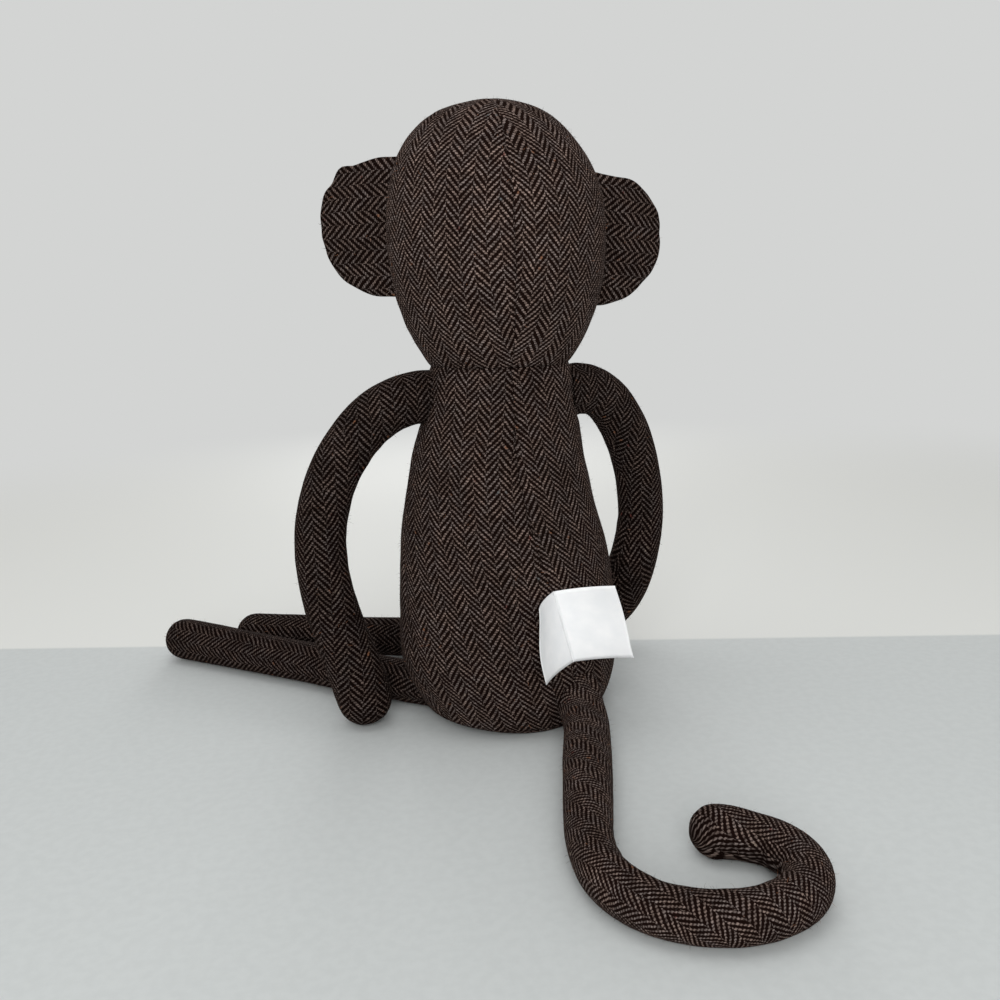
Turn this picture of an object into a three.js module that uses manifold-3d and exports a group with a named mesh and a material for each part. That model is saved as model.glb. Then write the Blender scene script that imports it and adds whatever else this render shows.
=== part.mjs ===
// Sitting plush monkey sewn from tweed panels over loose stuffing.
// Millimetres, +Z up, the face looks along -Y and the toy's left is +X.
// The origin is the middle of the flat base that it sits on.
import * as THREE from 'three';
import { mergeVertices } from 'three/addons/utils/BufferGeometryUtils.js';
import Module from 'manifold-3d';

const wasm = await Module();
wasm.setup();

// Cloth and clearances
const CLOTH = 1.4;
const SEAM_GAP = 0.3;
const FILL_GAP = 0.3;
const TOUCH_GAP = 0.4;
const FLOOR_GAP = 0.2;

// Torso: a pear that is turned at the base, as the toy was put down
const TORSO_HEIGHT = 230;
const TORSO_WIDTH = 150;
const TORSO_DEPTH = 132;
const TORSO_WIDEST_AT = 42;
const TORSO_TWIST = 36;
const TWIST_EASE = 1.4;
const FLANK_EASE = 1.15;
const BASE_WIDTH = 120;
const BASE_SEAM = 3;

// Neck: the torso's rounded top turns inside the head
const NECK_WIDTH = 88;
const NECK_PIVOT_DROP = 15;
const NECK_TUCK = 12;
const NECK_GAP = 0.7;

// Head
const HEAD_HEIGHT = 157;
const HEAD_WIDTH = 136;
const HEAD_DEPTH = 126;
const HEAD_WIDEST_AT = 76;
const CROWN_POWER = 2.3;
const CHIN_POWER = 2;

// Ears: padded half rounds set into the side seams of the head
const EAR_HEIGHT = 83;
const EAR_REACH = 52;
const EAR_THICKNESS = 13;
const EAR_MIDDLE_AT = 80;
const EAR_STAGGER = 5;
const EAR_SINK = 5;
const EAR_SETBACK = 6;
const EAR_LEFT_SWEEP = 33;
const EAR_RIGHT_SWEEP = 14;
const EAR_POWER = 2.5;
const EAR_FOLD = 35;

// Arms: tubes sewn into the side seams below the neck, the last stretch taking the rest of the length
const ARM_LENGTH = 252;
const ARM_DIAMETER = 32;
const HAND_DIAMETER = 36;
const SHOULDER_DROP = 19;
const SHOULDER_HEIGHT = 33;
const SHOULDER_THICKNESS = 22;
const SHOULDER_PIVOT_RISE = 6;
const ARM_RAISE = 55;
const ARM_ROOT_DROP = -2;
const ARM_LEFT_SWING = 10;
const ARM_RIGHT_SWING = -36;
const ARM_LEFT_SHOULDER_RUN = 46;
const ARM_LEFT_UPPER_RUN = 80;
const ARM_LEFT_ELBOW_RUN = 50;
const ARM_RIGHT_SHOULDER_RUN = 46;
const ARM_RIGHT_UPPER_RUN = 68;
const ARM_RIGHT_ELBOW_RUN = 50;
const ARM_LEFT_BENDS = [
  { length: ARM_LEFT_SHOULDER_RUN, turn: 0, drop: 44 },
  { length: ARM_LEFT_UPPER_RUN, turn: 0, drop: 88 },
  { length: ARM_LEFT_ELBOW_RUN, turn: 0, drop: 106 },
  { turn: 0, drop: 104 },
];
const ARM_RIGHT_BENDS = [
  { length: ARM_RIGHT_SHOULDER_RUN, turn: 0, drop: 46 },
  { length: ARM_RIGHT_UPPER_RUN, turn: 0, drop: 81 },
  { length: ARM_RIGHT_ELBOW_RUN, turn: 102, drop: 108 },
  { turn: 110, drop: 155 },
];

// Legs: tubes sewn round the front of the base, both lying to the toy's left
const LEG_LENGTH = 228;
const LEG_DIAMETER = 29;
const FOOT_DIAMETER = 31;
const LEG_SPREAD = 40;
const LEG_ROOT_WIDTH = 32;
const LEG_RAISE = 50;
const LEG_LEFT_HEADING = -34;
const LEG_RIGHT_HEADING = -84;
const LEG_LEFT_HIP_RUN = 45;
const LEG_RIGHT_HIP_RUN = 34;
const LEG_LEFT_BENDS = [
  { length: LEG_LEFT_HIP_RUN, heading: -39 },
  { heading: -40 },
];
const LEG_RIGHT_BENDS = [
  { length: LEG_RIGHT_HIP_RUN, heading: -16 },
  { heading: -23 },
];

// Tail: a bias-cut tube caught in the back seam, hooked on the floor
const TAIL_LENGTH = 371;
const TAIL_DIAMETER = 28;
const TAIL_TIP_DIAMETER = 23;
const TAIL_TAPER_FROM = 80;
const TAIL_TAPER_TO = 215;
const TAIL_ROOT_WIDTH = 31;
const TAIL_SWING = 20;
const TAIL_HEADING = 93;
const TAIL_DROP = 24;
const TAIL_ROOT_RUN = 34;
const TAIL_STRAIGHT_RUN = 104;
const TAIL_BEND_RUN = 35;
const TAIL_SWEEP_RUN = 61;
const TAIL_HOOK_RUN = 45;
const TAIL_RETURN_RUN = 47;
const TAIL_BENDS = [
  { length: TAIL_ROOT_RUN, heading: 75, drop: 0 },
  { length: TAIL_STRAIGHT_RUN, heading: 75, drop: 1.2 },
  { length: TAIL_BEND_RUN, heading: 90, drop: 1.2 },
  { length: TAIL_SWEEP_RUN, heading: 158, drop: 0 },
  { length: TAIL_HOOK_RUN, heading: 207, drop: 0 },
  { length: TAIL_RETURN_RUN, heading: 297, drop: 0 },
  { heading: 371, drop: 0 },
];

// Label: two leaves caught in the back seam above the tail
const LABEL_LENGTH = 48;
const LABEL_REACH = 38;
const LABEL_THICKNESS = 0.6;
const LABEL_MIDDLE_AT = 72;
const LABEL_RIGHT_LEAN = 62;
const LABEL_LEFT_LEAN = 71;
const LABEL_CURL = 24;

// Face: felt and thread on the front of the head
const FELT = 1.5;
const MUZZLE_WIDTH = 84;
const MUZZLE_HEIGHT = 50;
const MUZZLE_AT = 52;
const BROW_WIDTH = 46;
const BROW_HEIGHT = 52;
const BROW_AT = 92;
const BROW_SPACING = 36;
const EYE_DIAMETER = 11;
const EYE_RISE = 3;
const EYE_AT = 84;
const EYE_SPACING = 34;
const NOSE_WIDTH = 16;
const NOSE_HEIGHT = 8;
const NOSE_AT = 63;
const MOUTH_WIDTH = 40;
const MOUTH_SAG = 10;
const MOUTH_AT = 47;
const THREAD = 2;

// Fineness of the facets
const BODY_COLUMNS = 16;
const BASE_STEPS = 3;
const FLANK_STEPS = 5;
const NECK_STEPS = 2;
const HEAD_STEPS = 8;
const LIMB_SIDES = 8;
const LIMB_RING_SPACING = 20;
const TAIL_RING_SPACING = 15;
const TIP_STEPS = 3;
const BALL_SIDES = 24;
const EAR_SIDES = 12;
const EAR_LAYERS = 6;
const LABEL_STEPS = 5;
const OVAL_STEPS = 10;
const WALK_STEP = 0.5;
const WELD_DISTANCE = 1e-4;

// Angles round the toy, in degrees from its left side towards its back
const LEFT = 0;
const BACK = 90;
const RIGHT = 180;
const FRONT = 270;
const ROUND = 360;

const FULL_TURN = 2 * Math.PI;
const UP = new THREE.Vector3(0, 0, 1);
const radians = THREE.MathUtils.degToRad;
const mix = THREE.MathUtils.lerp;

// Materials
const TWEED = new THREE.MeshStandardMaterial({ color: 0x3d312e, roughness: 0.95, metalness: 0 });
const STUFFING = new THREE.MeshStandardMaterial({ color: 0xeeeae2, roughness: 1, metalness: 0 });
const SATIN = new THREE.MeshStandardMaterial({ color: 0xe6e8ea, roughness: 0.6, metalness: 0 });
const FELT_TAN = new THREE.MeshStandardMaterial({ color: 0xb99a78, roughness: 0.95, metalness: 0 });
const THREAD_BLACK = new THREE.MeshStandardMaterial({ color: 0x17120f, roughness: 0.7, metalness: 0 });
const BEAD_BLACK = new THREE.MeshStandardMaterial({ color: 0x0d0b0a, roughness: 0.2, metalness: 0 });

// A triangle skin built ring by ring
class Skin {
  constructor() {
    this.positions = [];
    this.triangles = [];
  }

  point(p) {
    this.positions.push(p.x, p.y, p.z);
    return this.positions.length / 3 - 1;
  }

  ring(points) {
    return points.map((p) => this.point(p));
  }

  quad(a, b, c, d) {
    this.triangles.push(a, b, c, a, c, d);
  }

  band(first, second) {
    first.forEach((a, j) => {
      const next = (j + 1) % first.length;
      this.quad(a, first[next], second[next], second[j]);
    });
  }

  bandInside(first, second) {
    first.forEach((a, j) => {
      const next = (j + 1) % first.length;
      this.quad(a, second[j], second[next], first[next]);
    });
  }

  endFan(ring, apex) {
    ring.forEach((a, j) => this.triangles.push(a, ring[(j + 1) % ring.length], apex));
  }

  startFan(ring, apex) {
    ring.forEach((a, j) => this.triangles.push(ring[(j + 1) % ring.length], a, apex));
  }

  geometry() {
    const geometry = new THREE.BufferGeometry();
    geometry.setAttribute('position', new THREE.Float32BufferAttribute(this.positions, 3));
    geometry.setIndex(this.triangles);
    return geometry;
  }
}

// Solids for cutting and joining
function toSolid(geometry) {
  const bare = geometry.clone();
  bare.deleteAttribute('normal');
  bare.deleteAttribute('uv');
  const merged = mergeVertices(bare, WELD_DISTANCE);
  const vertProperties = new Float32Array(merged.attributes.position.array);
  const triVerts = new Uint32Array(merged.index.array);
  return new wasm.Manifold(new wasm.Mesh({ numProp: 3, vertProperties, triVerts }));
}

function toGeometry(solid) {
  const mesh = solid.getMesh();
  const geometry = new THREE.BufferGeometry();
  geometry.setAttribute('position', new THREE.Float32BufferAttribute(mesh.vertProperties, 3));
  geometry.setIndex(new THREE.Uint32BufferAttribute(mesh.triVerts, 1));
  return geometry;
}

function boxSolid(low, high) {
  const size = high.clone().sub(low);
  const middle = high.clone().add(low).divideScalar(2);
  const box = new THREE.BoxGeometry(size.x, size.y, size.z);
  return toSolid(box.translate(middle.x, middle.y, middle.z));
}

function spread(from, to, steps) {
  return Array.from({ length: steps + 1 }, (_, i) => mix(from, to, i / steps));
}

// Torso surface: stacked ovals, turned about Z towards the base
const TORSO_RATIO = TORSO_DEPTH / TORSO_WIDTH;
const NECK_PIVOT_AT = TORSO_HEIGHT - NECK_PIVOT_DROP;
const NECK_BALL_DEPTH = Math.hypot(NECK_WIDTH / 2 * TORSO_RATIO, NECK_PIVOT_DROP);
const NECK_BALL_WIDTH = NECK_BALL_DEPTH / TORSO_RATIO;
const TORSO_TOP = NECK_PIVOT_AT + NECK_BALL_DEPTH;

function torsoRadius(z) {
  if (z < TORSO_WIDEST_AT) {
    const below = 1 - Math.max(z, 0) / TORSO_WIDEST_AT;
    return mix(BASE_WIDTH / 2, TORSO_WIDTH / 2, Math.sqrt(1 - below * below));
  }
  if (z < NECK_PIVOT_AT) {
    const down = (NECK_PIVOT_AT - z) / (NECK_PIVOT_AT - TORSO_WIDEST_AT);
    return mix(NECK_BALL_WIDTH, TORSO_WIDTH / 2, Math.sin(Math.PI / 2 * down ** FLANK_EASE));
  }
  const up = Math.min(1, (z - NECK_PIVOT_AT) / NECK_BALL_DEPTH);
  return NECK_BALL_WIDTH * Math.sqrt(1 - up * up);
}

function torsoTwist(z) {
  const down = Math.min(1, Math.max(0, 1 - z / NECK_PIVOT_AT));
  return radians(TORSO_TWIST) * down ** TWIST_EASE;
}

const TORSO = { radius: torsoRadius, twist: torsoTwist, ratio: TORSO_RATIO, bottom: 0, top: TORSO_TOP };

// Head surface: a broad crown over a chin that narrows to the neck seam
const HEAD_TOP = TORSO_HEIGHT + HEAD_HEIGHT;
const HEAD_WIDEST = TORSO_HEIGHT + HEAD_WIDEST_AT;
const CHIN_DEPTH = HEAD_WIDEST_AT / (1 - (NECK_WIDTH / HEAD_WIDTH) ** CHIN_POWER) ** (1 / CHIN_POWER);
const HEAD_BOTTOM = NECK_PIVOT_AT + NECK_GAP;

function headRadius(z) {
  const above = z > HEAD_WIDEST;
  const rise = (z - HEAD_WIDEST) / (HEAD_TOP - HEAD_WIDEST);
  const fall = (HEAD_WIDEST - z) / CHIN_DEPTH;
  const share = above ? rise : fall;
  const power = above ? CROWN_POWER : CHIN_POWER;
  return HEAD_WIDTH / 2 * Math.max(0, 1 - share ** power) ** (1 / power);
}

const HEAD = {
  radius: headRadius,
  twist: () => 0,
  ratio: HEAD_DEPTH / HEAD_WIDTH,
  bottom: HEAD_BOTTOM,
  top: HEAD_TOP,
};

// Point on a stacked surface, at an angle from the toy's left towards its back, moved out by offset
function surfacePoint(form, angle, z, offset = 0) {
  const low = Math.max(form.bottom, z - WALK_STEP);
  const high = Math.min(form.top, z + WALK_STEP);
  const slope = (form.radius(high) - form.radius(low)) / (high - low);
  const outward = 1 / Math.hypot(1, slope);
  const across = form.radius(z) + offset * outward;
  const along = form.radius(z) * form.ratio + offset * outward;
  const height = z - offset * outward * slope;
  const point = new THREE.Vector3(across * Math.cos(angle), along * Math.sin(angle), height);
  return point.applyAxisAngle(UP, form.twist(z));
}

function surfaceRing(form, z, offset) {
  const angles = Array.from({ length: BODY_COLUMNS }, (_, j) => FULL_TURN * j / BODY_COLUMNS);
  return angles.map((angle) => surfacePoint(form, angle, z, offset));
}

// Closed solid of a stacked surface moved out by offset, through the given heights
function stackGeometry(form, heights, offset, floor, crown) {
  const skin = new Skin();
  const rings = heights.map((z) => skin.ring(surfaceRing(form, z, offset)));
  skin.startFan(rings[0], skin.point(new THREE.Vector3(0, 0, floor)));
  rings.slice(1).forEach((ring, i) => skin.band(rings[i], ring));
  skin.endFan(rings[rings.length - 1], skin.point(new THREE.Vector3(0, 0, crown)));
  return skin.geometry();
}

// Heights of the torso's rings
const BASE_HEIGHTS = spread(0, Math.PI / 2, BASE_STEPS).map((t) => TORSO_WIDEST_AT * (1 - Math.cos(t)));
const FLANK_HEIGHTS = spread(TORSO_WIDEST_AT, NECK_PIVOT_AT, FLANK_STEPS).slice(1);
const NECK_TUCK_TOP = TORSO_HEIGHT + NECK_TUCK;
const NECK_HEIGHTS = spread(NECK_PIVOT_AT, NECK_TUCK_TOP, NECK_STEPS).slice(1);
const PANEL_HEIGHTS = [BASE_SEAM, ...BASE_HEIGHTS.slice(1), ...FLANK_HEIGHTS, ...NECK_HEIGHTS];
const CROWN_HEIGHTS = spread(NECK_TUCK_TOP, TORSO_TOP, NECK_STEPS + 1).slice(1, -1);
const FILL_HEIGHTS = [...PANEL_HEIGHTS, ...CROWN_HEIGHTS];

function torsoOutside(gap) {
  return toSolid(stackGeometry(TORSO, [0, ...FILL_HEIGHTS], gap, -gap, TORSO_TOP + gap));
}

// Heights of the head's rings, closer together towards the crown
const HEAD_HEIGHTS = spread(0, Math.PI / 2, HEAD_STEPS).slice(0, -1)
  .map((t) => mix(HEAD_BOTTOM, HEAD_TOP, Math.sin(t)));

function headSolid(offset) {
  return toSolid(stackGeometry(HEAD, HEAD_HEIGHTS, offset, HEAD_BOTTOM - offset, HEAD_TOP + offset));
}

function neckBall(gap) {
  const ball = new THREE.SphereGeometry(1, BALL_SIDES, BALL_SIDES / 2).rotateZ(Math.PI / 2);
  ball.scale(NECK_BALL_WIDTH + gap, NECK_BALL_DEPTH + gap, NECK_BALL_DEPTH + gap);
  return toSolid(ball.translate(0, 0, NECK_PIVOT_AT));
}

// A sewn panel: one sector of the torso's cloth between two seams
function torsoPanel(fromDegrees, toDegrees) {
  const columns = Math.round((toDegrees - fromDegrees) / ROUND * BODY_COLUMNS);
  const skin = new Skin();
  const levels = PANEL_HEIGHTS.map((z) => {
    const inset = SEAM_GAP / 2 / (torsoRadius(z) * TORSO_RATIO);
    const angles = spread(radians(fromDegrees) + inset, radians(toDegrees) - inset, columns);
    return {
      outer: skin.ring(angles.map((angle) => surfacePoint(TORSO, angle, z))),
      inner: skin.ring(angles.map((angle) => surfacePoint(TORSO, angle, z, -CLOTH))),
    };
  });
  levels.slice(1).forEach((upper, i) => {
    const lower = levels[i];
    for (let j = 0; j < columns; j += 1) {
      skin.quad(lower.outer[j], lower.outer[j + 1], upper.outer[j + 1], upper.outer[j]);
      skin.quad(lower.inner[j], upper.inner[j], upper.inner[j + 1], lower.inner[j + 1]);
    }
    skin.quad(lower.inner[0], lower.outer[0], upper.outer[0], upper.inner[0]);
    skin.quad(lower.outer[columns], lower.inner[columns], upper.inner[columns], upper.outer[columns]);
  });
  const foot = levels[0];
  const collar = levels[levels.length - 1];
  for (let j = 0; j < columns; j += 1) {
    skin.quad(foot.outer[j + 1], foot.outer[j], foot.inner[j], foot.inner[j + 1]);
    skin.quad(collar.outer[j], collar.outer[j + 1], collar.inner[j + 1], collar.inner[j]);
  }
  return skin.geometry();
}

// The flat base panel, turned up at its edge to meet the other panels
function basePanel() {
  const edge = BASE_SEAM - SEAM_GAP;
  const skin = new Skin();
  const flat = skin.ring(surfaceRing(TORSO, 0, 0));
  const rim = skin.ring(surfaceRing(TORSO, edge, 0));
  const rimInside = skin.ring(surfaceRing(TORSO, edge, 0).map((p) => shrinkOval(p, CLOTH)));
  const flatInside = skin.ring(surfaceRing(TORSO, 0, 0).map((p) => shrinkOval(p, CLOTH).setZ(CLOTH)));
  skin.startFan(flat, skin.point(new THREE.Vector3(0, 0, 0)));
  skin.band(flat, rim);
  skin.band(rim, rimInside);
  skin.band(rimInside, flatInside);
  skin.endFan(flatInside, skin.point(new THREE.Vector3(0, 0, CLOTH)));
  return skin.geometry();
}

function shrinkOval(point, amount) {
  const reach = Math.hypot(point.x, point.y);
  const scale = (reach - amount) / reach;
  return new THREE.Vector3(point.x * scale, point.y * scale, point.z);
}

function torsoStuffing() {
  const inset = CLOTH + FILL_GAP;
  return stackGeometry(TORSO, FILL_HEIGHTS, -inset, inset, TORSO_TOP - inset);
}

function headPieces() {
  const ball = neckBall(NECK_GAP);
  const shell = headSolid(0).subtract(headSolid(-CLOTH)).subtract(ball);
  const reach = HEAD_WIDTH + HEAD_DEPTH;
  const half = SEAM_GAP / 2;
  const low = new THREE.Vector3(-reach, -reach, 0);
  const high = new THREE.Vector3(reach, reach, HEAD_TOP + reach);
  const front = boxSolid(low, high.clone().setY(-half));
  const backLeft = boxSolid(new THREE.Vector3(half, half, 0), high);
  const backRight = boxSolid(low.clone().setY(half), high.clone().setX(-half));
  return {
    front: toGeometry(shell.intersect(front)),
    backLeft: toGeometry(shell.intersect(backLeft)),
    backRight: toGeometry(shell.intersect(backRight)),
    stuffing: toGeometry(headSolid(-CLOTH - FILL_GAP).subtract(ball)),
  };
}

// Direction from a heading about Z, from the toy's left towards its back, and a drop below level
function direction(heading, drop) {
  const level = Math.cos(radians(drop));
  return new THREE.Vector3(
    level * Math.cos(radians(heading)),
    level * Math.sin(radians(heading)),
    -Math.sin(radians(drop)),
  );
}

// Gives the last bend whatever the others leave of the length
function fillLength(bends, length) {
  const used = bends.reduce((sum, bend) => sum + (bend.length ?? 0), 0);
  return bends.map((bend) => ({ ...bend, length: bend.length ?? length - used }));
}

// Walks along bends, turning evenly from each heading to the next
function walkPath(start, heading, drop, bends, spacing) {
  const total = bends.reduce((sum, bend) => sum + bend.length, 0);
  const point = start.clone();
  const track = [{ at: 0, point: point.clone(), ahead: direction(heading, drop) }];
  let at = 0;
  let from = { heading, drop };
  bends.forEach((bend) => {
    const steps = Math.ceil(bend.length / WALK_STEP);
    const step = bend.length / steps;
    for (let i = 0; i < steps; i += 1) {
      const share = (i + 0.5) / steps;
      const ahead = direction(mix(from.heading, bend.heading, share), mix(from.drop, bend.drop, share));
      point.addScaledVector(ahead, step);
      at += step;
      track.push({ at, point: point.clone(), ahead });
    }
    from = bend;
  });
  const last = track.length - 1;
  const stationAt = (distance) => track[Math.min(last, Math.round(distance / total * last))];
  return { total, stationAt, spacing };
}

// Limb: a tube along a path, flattened at its sewn root and closed by a round end
function limbStations(limb) {
  const { path, endRadius } = limb;
  const straight = path.total - endRadius;
  const rings = Math.ceil(straight / path.spacing);
  const body = spread(0, straight, rings).map((at) => ({ at, close: 1 }));
  const tip = spread(0, Math.PI / 2, TIP_STEPS).slice(1, -1).map((t) => ({
    at: straight + endRadius * Math.sin(t),
    close: Math.cos(t),
  }));
  return [...body, ...tip];
}

// Half sizes of a limb's section: across its root seam, along its root seam
function limbSection(limb, at) {
  const ease = THREE.MathUtils.smoothstep(at, 0, limb.rootBlend);
  const swell = THREE.MathUtils.smoothstep(at, limb.swellFrom, limb.swellTo);
  const radius = mix(limb.radius, limb.endRadius, swell);
  return { across: mix(limb.rootAcross, radius, ease), along: mix(limb.rootAlong, radius, ease) };
}

function limbRings(skin, limb, offset) {
  let side = limb.side.clone();
  return limbStations(limb).map(({ at, close }) => {
    const { point, ahead } = limb.path.stationAt(at);
    side = side.clone().addScaledVector(ahead, -side.dot(ahead)).normalize();
    const other = new THREE.Vector3().crossVectors(ahead, side);
    const { across, along } = limbSection(limb, at);
    const turns = Array.from({ length: LIMB_SIDES }, (_, j) => FULL_TURN * (j + 0.5) / LIMB_SIDES);
    return skin.ring(turns.map((turn) => point.clone()
      .addScaledVector(side, (across * close + offset * close) * Math.cos(turn))
      .addScaledVector(other, (along * close + offset * close) * Math.sin(turn))));
  });
}

function limbTip(limb, offset) {
  const { point, ahead } = limb.path.stationAt(limb.path.total);
  return point.clone().addScaledVector(ahead, offset);
}

function limbSolid(limb, offset) {
  const skin = new Skin();
  const rings = limbRings(skin, limb, offset);
  skin.startFan(rings[0], skin.point(limb.path.stationAt(0).point));
  rings.slice(1).forEach((ring, i) => skin.band(rings[i], ring));
  skin.endFan(rings[rings.length - 1], skin.point(limbTip(limb, offset)));
  return toSolid(skin.geometry());
}

function limbCover(limb) {
  const skin = new Skin();
  const outer = limbRings(skin, limb, 0);
  const inner = limbRings(skin, limb, -CLOTH);
  outer.slice(1).forEach((ring, i) => skin.band(outer[i], ring));
  inner.slice(1).forEach((ring, i) => skin.bandInside(inner[i], ring));
  skin.endFan(outer[outer.length - 1], skin.point(limbTip(limb, 0)));
  skin.startFan(inner[inner.length - 1], skin.point(limbTip(limb, -CLOTH)));
  skin.band(inner[0], outer[0]);
  return toSolid(skin.geometry());
}

// Cuts a limb clear of the body that it is sewn to, everywhere in its range
function clearOf(piece, body, hinge, angles) {
  return angles.reduce((rest, angle) => {
    const turn = new THREE.Matrix4().makeRotationAxis(hinge.axis, radians(-angle));
    const place = new THREE.Matrix4().makeTranslation(hinge.at)
      .multiply(turn)
      .multiply(new THREE.Matrix4().makeTranslation(hinge.at.clone().negate()));
    const turned = toGeometry(body).applyMatrix4(place);
    return rest.subtract(toSolid(turned));
  }, piece);
}

function limbPieces(limb, angles) {
  const body = torsoOutside(TOUCH_GAP);
  const stuffing = limbSolid(limb, -CLOTH - FILL_GAP);
  return {
    cover: toGeometry(clearOf(limbCover(limb), body, limb.hinge, angles)),
    stuffing: toGeometry(clearOf(stuffing, body, limb.hinge, angles)),
  };
}

// Arms: side is +1 on the toy's left and -1 on its right; a swing turns towards the back
function armLimb(side, swing, bends) {
  const heading = (turn) => (side > 0 ? LEFT + turn : RIGHT - turn);
  const height = TORSO_HEIGHT - SHOULDER_DROP;
  const root = surfacePoint(TORSO, radians(side > 0 ? LEFT : RIGHT), height);
  const ahead = direction(heading(swing), ARM_ROOT_DROP);
  const start = root.clone().addScaledVector(ahead, -SHOULDER_THICKNESS / 2);
  const stretches = fillLength(bends, ARM_LENGTH)
    .map((bend) => ({ length: bend.length, heading: heading(swing + bend.turn), drop: bend.drop }));
  const lead = { length: SHOULDER_THICKNESS / 2, heading: heading(swing), drop: ARM_ROOT_DROP };
  const across = new THREE.Vector3().crossVectors(UP, ahead).normalize();
  const path = walkPath(start, heading(swing), ARM_ROOT_DROP, [lead, ...stretches], LIMB_RING_SPACING);
  return {
    path,
    side: across,
    radius: ARM_DIAMETER / 2,
    endRadius: HAND_DIAMETER / 2,
    swellFrom: path.total / 2,
    swellTo: path.total - HAND_DIAMETER / 2,
    rootAcross: SHOULDER_THICKNESS / 2,
    rootAlong: SHOULDER_HEIGHT / 2,
    rootBlend: 2 * ARM_DIAMETER,
    hinge: { at: root.clone().addScaledVector(UP, SHOULDER_PIVOT_RISE), axis: across.clone().negate() },
  };
}

// Legs: side is +1 on the toy's left and -1 on its right; the foot rests on the floor
function legLimb(side, heading, bends) {
  const height = FOOT_DIAMETER / 2 + FLOOR_GAP;
  const root = surfacePoint(TORSO, radians(FRONT + side * LEG_SPREAD), height);
  const ahead = direction(heading, 0);
  const start = root.clone().addScaledVector(ahead, -LEG_DIAMETER / 2);
  const stretches = fillLength(bends, LEG_LENGTH).map((bend) => ({ ...bend, drop: 0 }));
  const lead = { length: LEG_DIAMETER / 2, heading, drop: 0 };
  const across = new THREE.Vector3().crossVectors(UP, ahead).normalize();
  const path = walkPath(start, heading, 0, [lead, ...stretches], LIMB_RING_SPACING);
  return {
    path,
    side: across,
    radius: LEG_DIAMETER / 2,
    endRadius: FOOT_DIAMETER / 2,
    swellFrom: path.total / 2,
    swellTo: path.total - FOOT_DIAMETER / 2,
    rootAcross: LEG_ROOT_WIDTH / 2,
    rootAlong: LEG_DIAMETER / 2,
    rootBlend: 2 * LEG_DIAMETER,
    hinge: { at: root, axis: across.clone().negate() },
  };
}

// Tail: leaves the back seam and comes down to lie on the floor
function tailLimb() {
  const lie = TAIL_TIP_DIAMETER / 2 + FLOOR_GAP;
  const stretches = fillLength(TAIL_BENDS, TAIL_LENGTH);
  const trial = walkPath(new THREE.Vector3(), TAIL_HEADING, TAIL_DROP, stretches, TAIL_RING_SPACING);
  const height = lie - trial.stationAt(trial.total).point.z;
  const root = surfacePoint(TORSO, radians(BACK), height);
  const ahead = direction(TAIL_HEADING, TAIL_DROP);
  const start = root.clone().addScaledVector(ahead, -TAIL_DIAMETER / 2);
  const lead = { length: TAIL_DIAMETER / 2, heading: TAIL_HEADING, drop: TAIL_DROP };
  return {
    path: walkPath(start, TAIL_HEADING, TAIL_DROP, [lead, ...stretches], TAIL_RING_SPACING),
    side: new THREE.Vector3().crossVectors(UP, ahead).normalize(),
    radius: TAIL_DIAMETER / 2,
    endRadius: TAIL_TIP_DIAMETER / 2,
    swellFrom: TAIL_TAPER_FROM,
    swellTo: TAIL_TAPER_TO,
    rootAcross: TAIL_ROOT_WIDTH / 2,
    rootAlong: TAIL_DIAMETER / 2,
    rootBlend: TAIL_DIAMETER,
    hinge: { at: root, axis: UP.clone() },
  };
}

// Ears: a pad of superellipse outline, halved into two cloths round thin wadding
function earPad(inset) {
  const pad = new THREE.SphereGeometry(1, EAR_SIDES, EAR_LAYERS);
  const spots = pad.attributes.position;
  for (let i = 0; i < spots.count; i += 1) {
    const x = spots.getX(i);
    const z = spots.getZ(i);
    const out = Math.hypot(x, z);
    const square = (Math.abs(x) ** EAR_POWER + Math.abs(z) ** EAR_POWER) ** (1 / EAR_POWER);
    const grow = square > 0 ? out / square : 0;
    spots.setXYZ(
      i,
      x * grow * (EAR_REACH - inset),
      spots.getY(i) * (EAR_THICKNESS / 2 - inset),
      z * grow * (EAR_HEIGHT / 2 - inset),
    );
  }
  return pad;
}

function earPieces(side) {
  const height = TORSO_HEIGHT + EAR_MIDDLE_AT + side * EAR_STAGGER;
  const hinge = {
    at: new THREE.Vector3(side * (headRadius(height) - EAR_SINK), -EAR_SETBACK, height),
    axis: UP.clone(),
  };
  const turn = side > 0 ? LEFT - EAR_LEFT_SWEEP : RIGHT + EAR_RIGHT_SWEEP;
  const place = new THREE.Matrix4().makeTranslation(hinge.at)
    .multiply(new THREE.Matrix4().makeRotationZ(radians(turn)));
  const body = headSolid(TOUCH_GAP);
  const angles = [-EAR_FOLD, 0, EAR_FOLD];
  const whole = toSolid(earPad(0).applyMatrix4(place));
  const inside = toSolid(earPad(CLOTH).applyMatrix4(place));
  const wad = toSolid(earPad(CLOTH + FILL_GAP).applyMatrix4(place));
  const shell = clearOf(whole.subtract(inside), body, hinge, angles);
  const reach = 2 * EAR_HEIGHT;
  const half = (from, to) => {
    const slab = new THREE.BoxGeometry(reach, to - from, reach).translate(0, (from + to) / 2, 0);
    return toSolid(slab.applyMatrix4(place));
  };
  const gap = SEAM_GAP / 2;
  const low = half(-reach, -gap);
  const high = half(gap, reach);
  const front = side > 0 ? low : high;
  const back = side > 0 ? high : low;
  return {
    hinge,
    front: toGeometry(shell.intersect(front)),
    back: toGeometry(shell.intersect(back)),
    wadding: toGeometry(clearOf(wad, body, hinge, angles)),
  };
}

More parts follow.
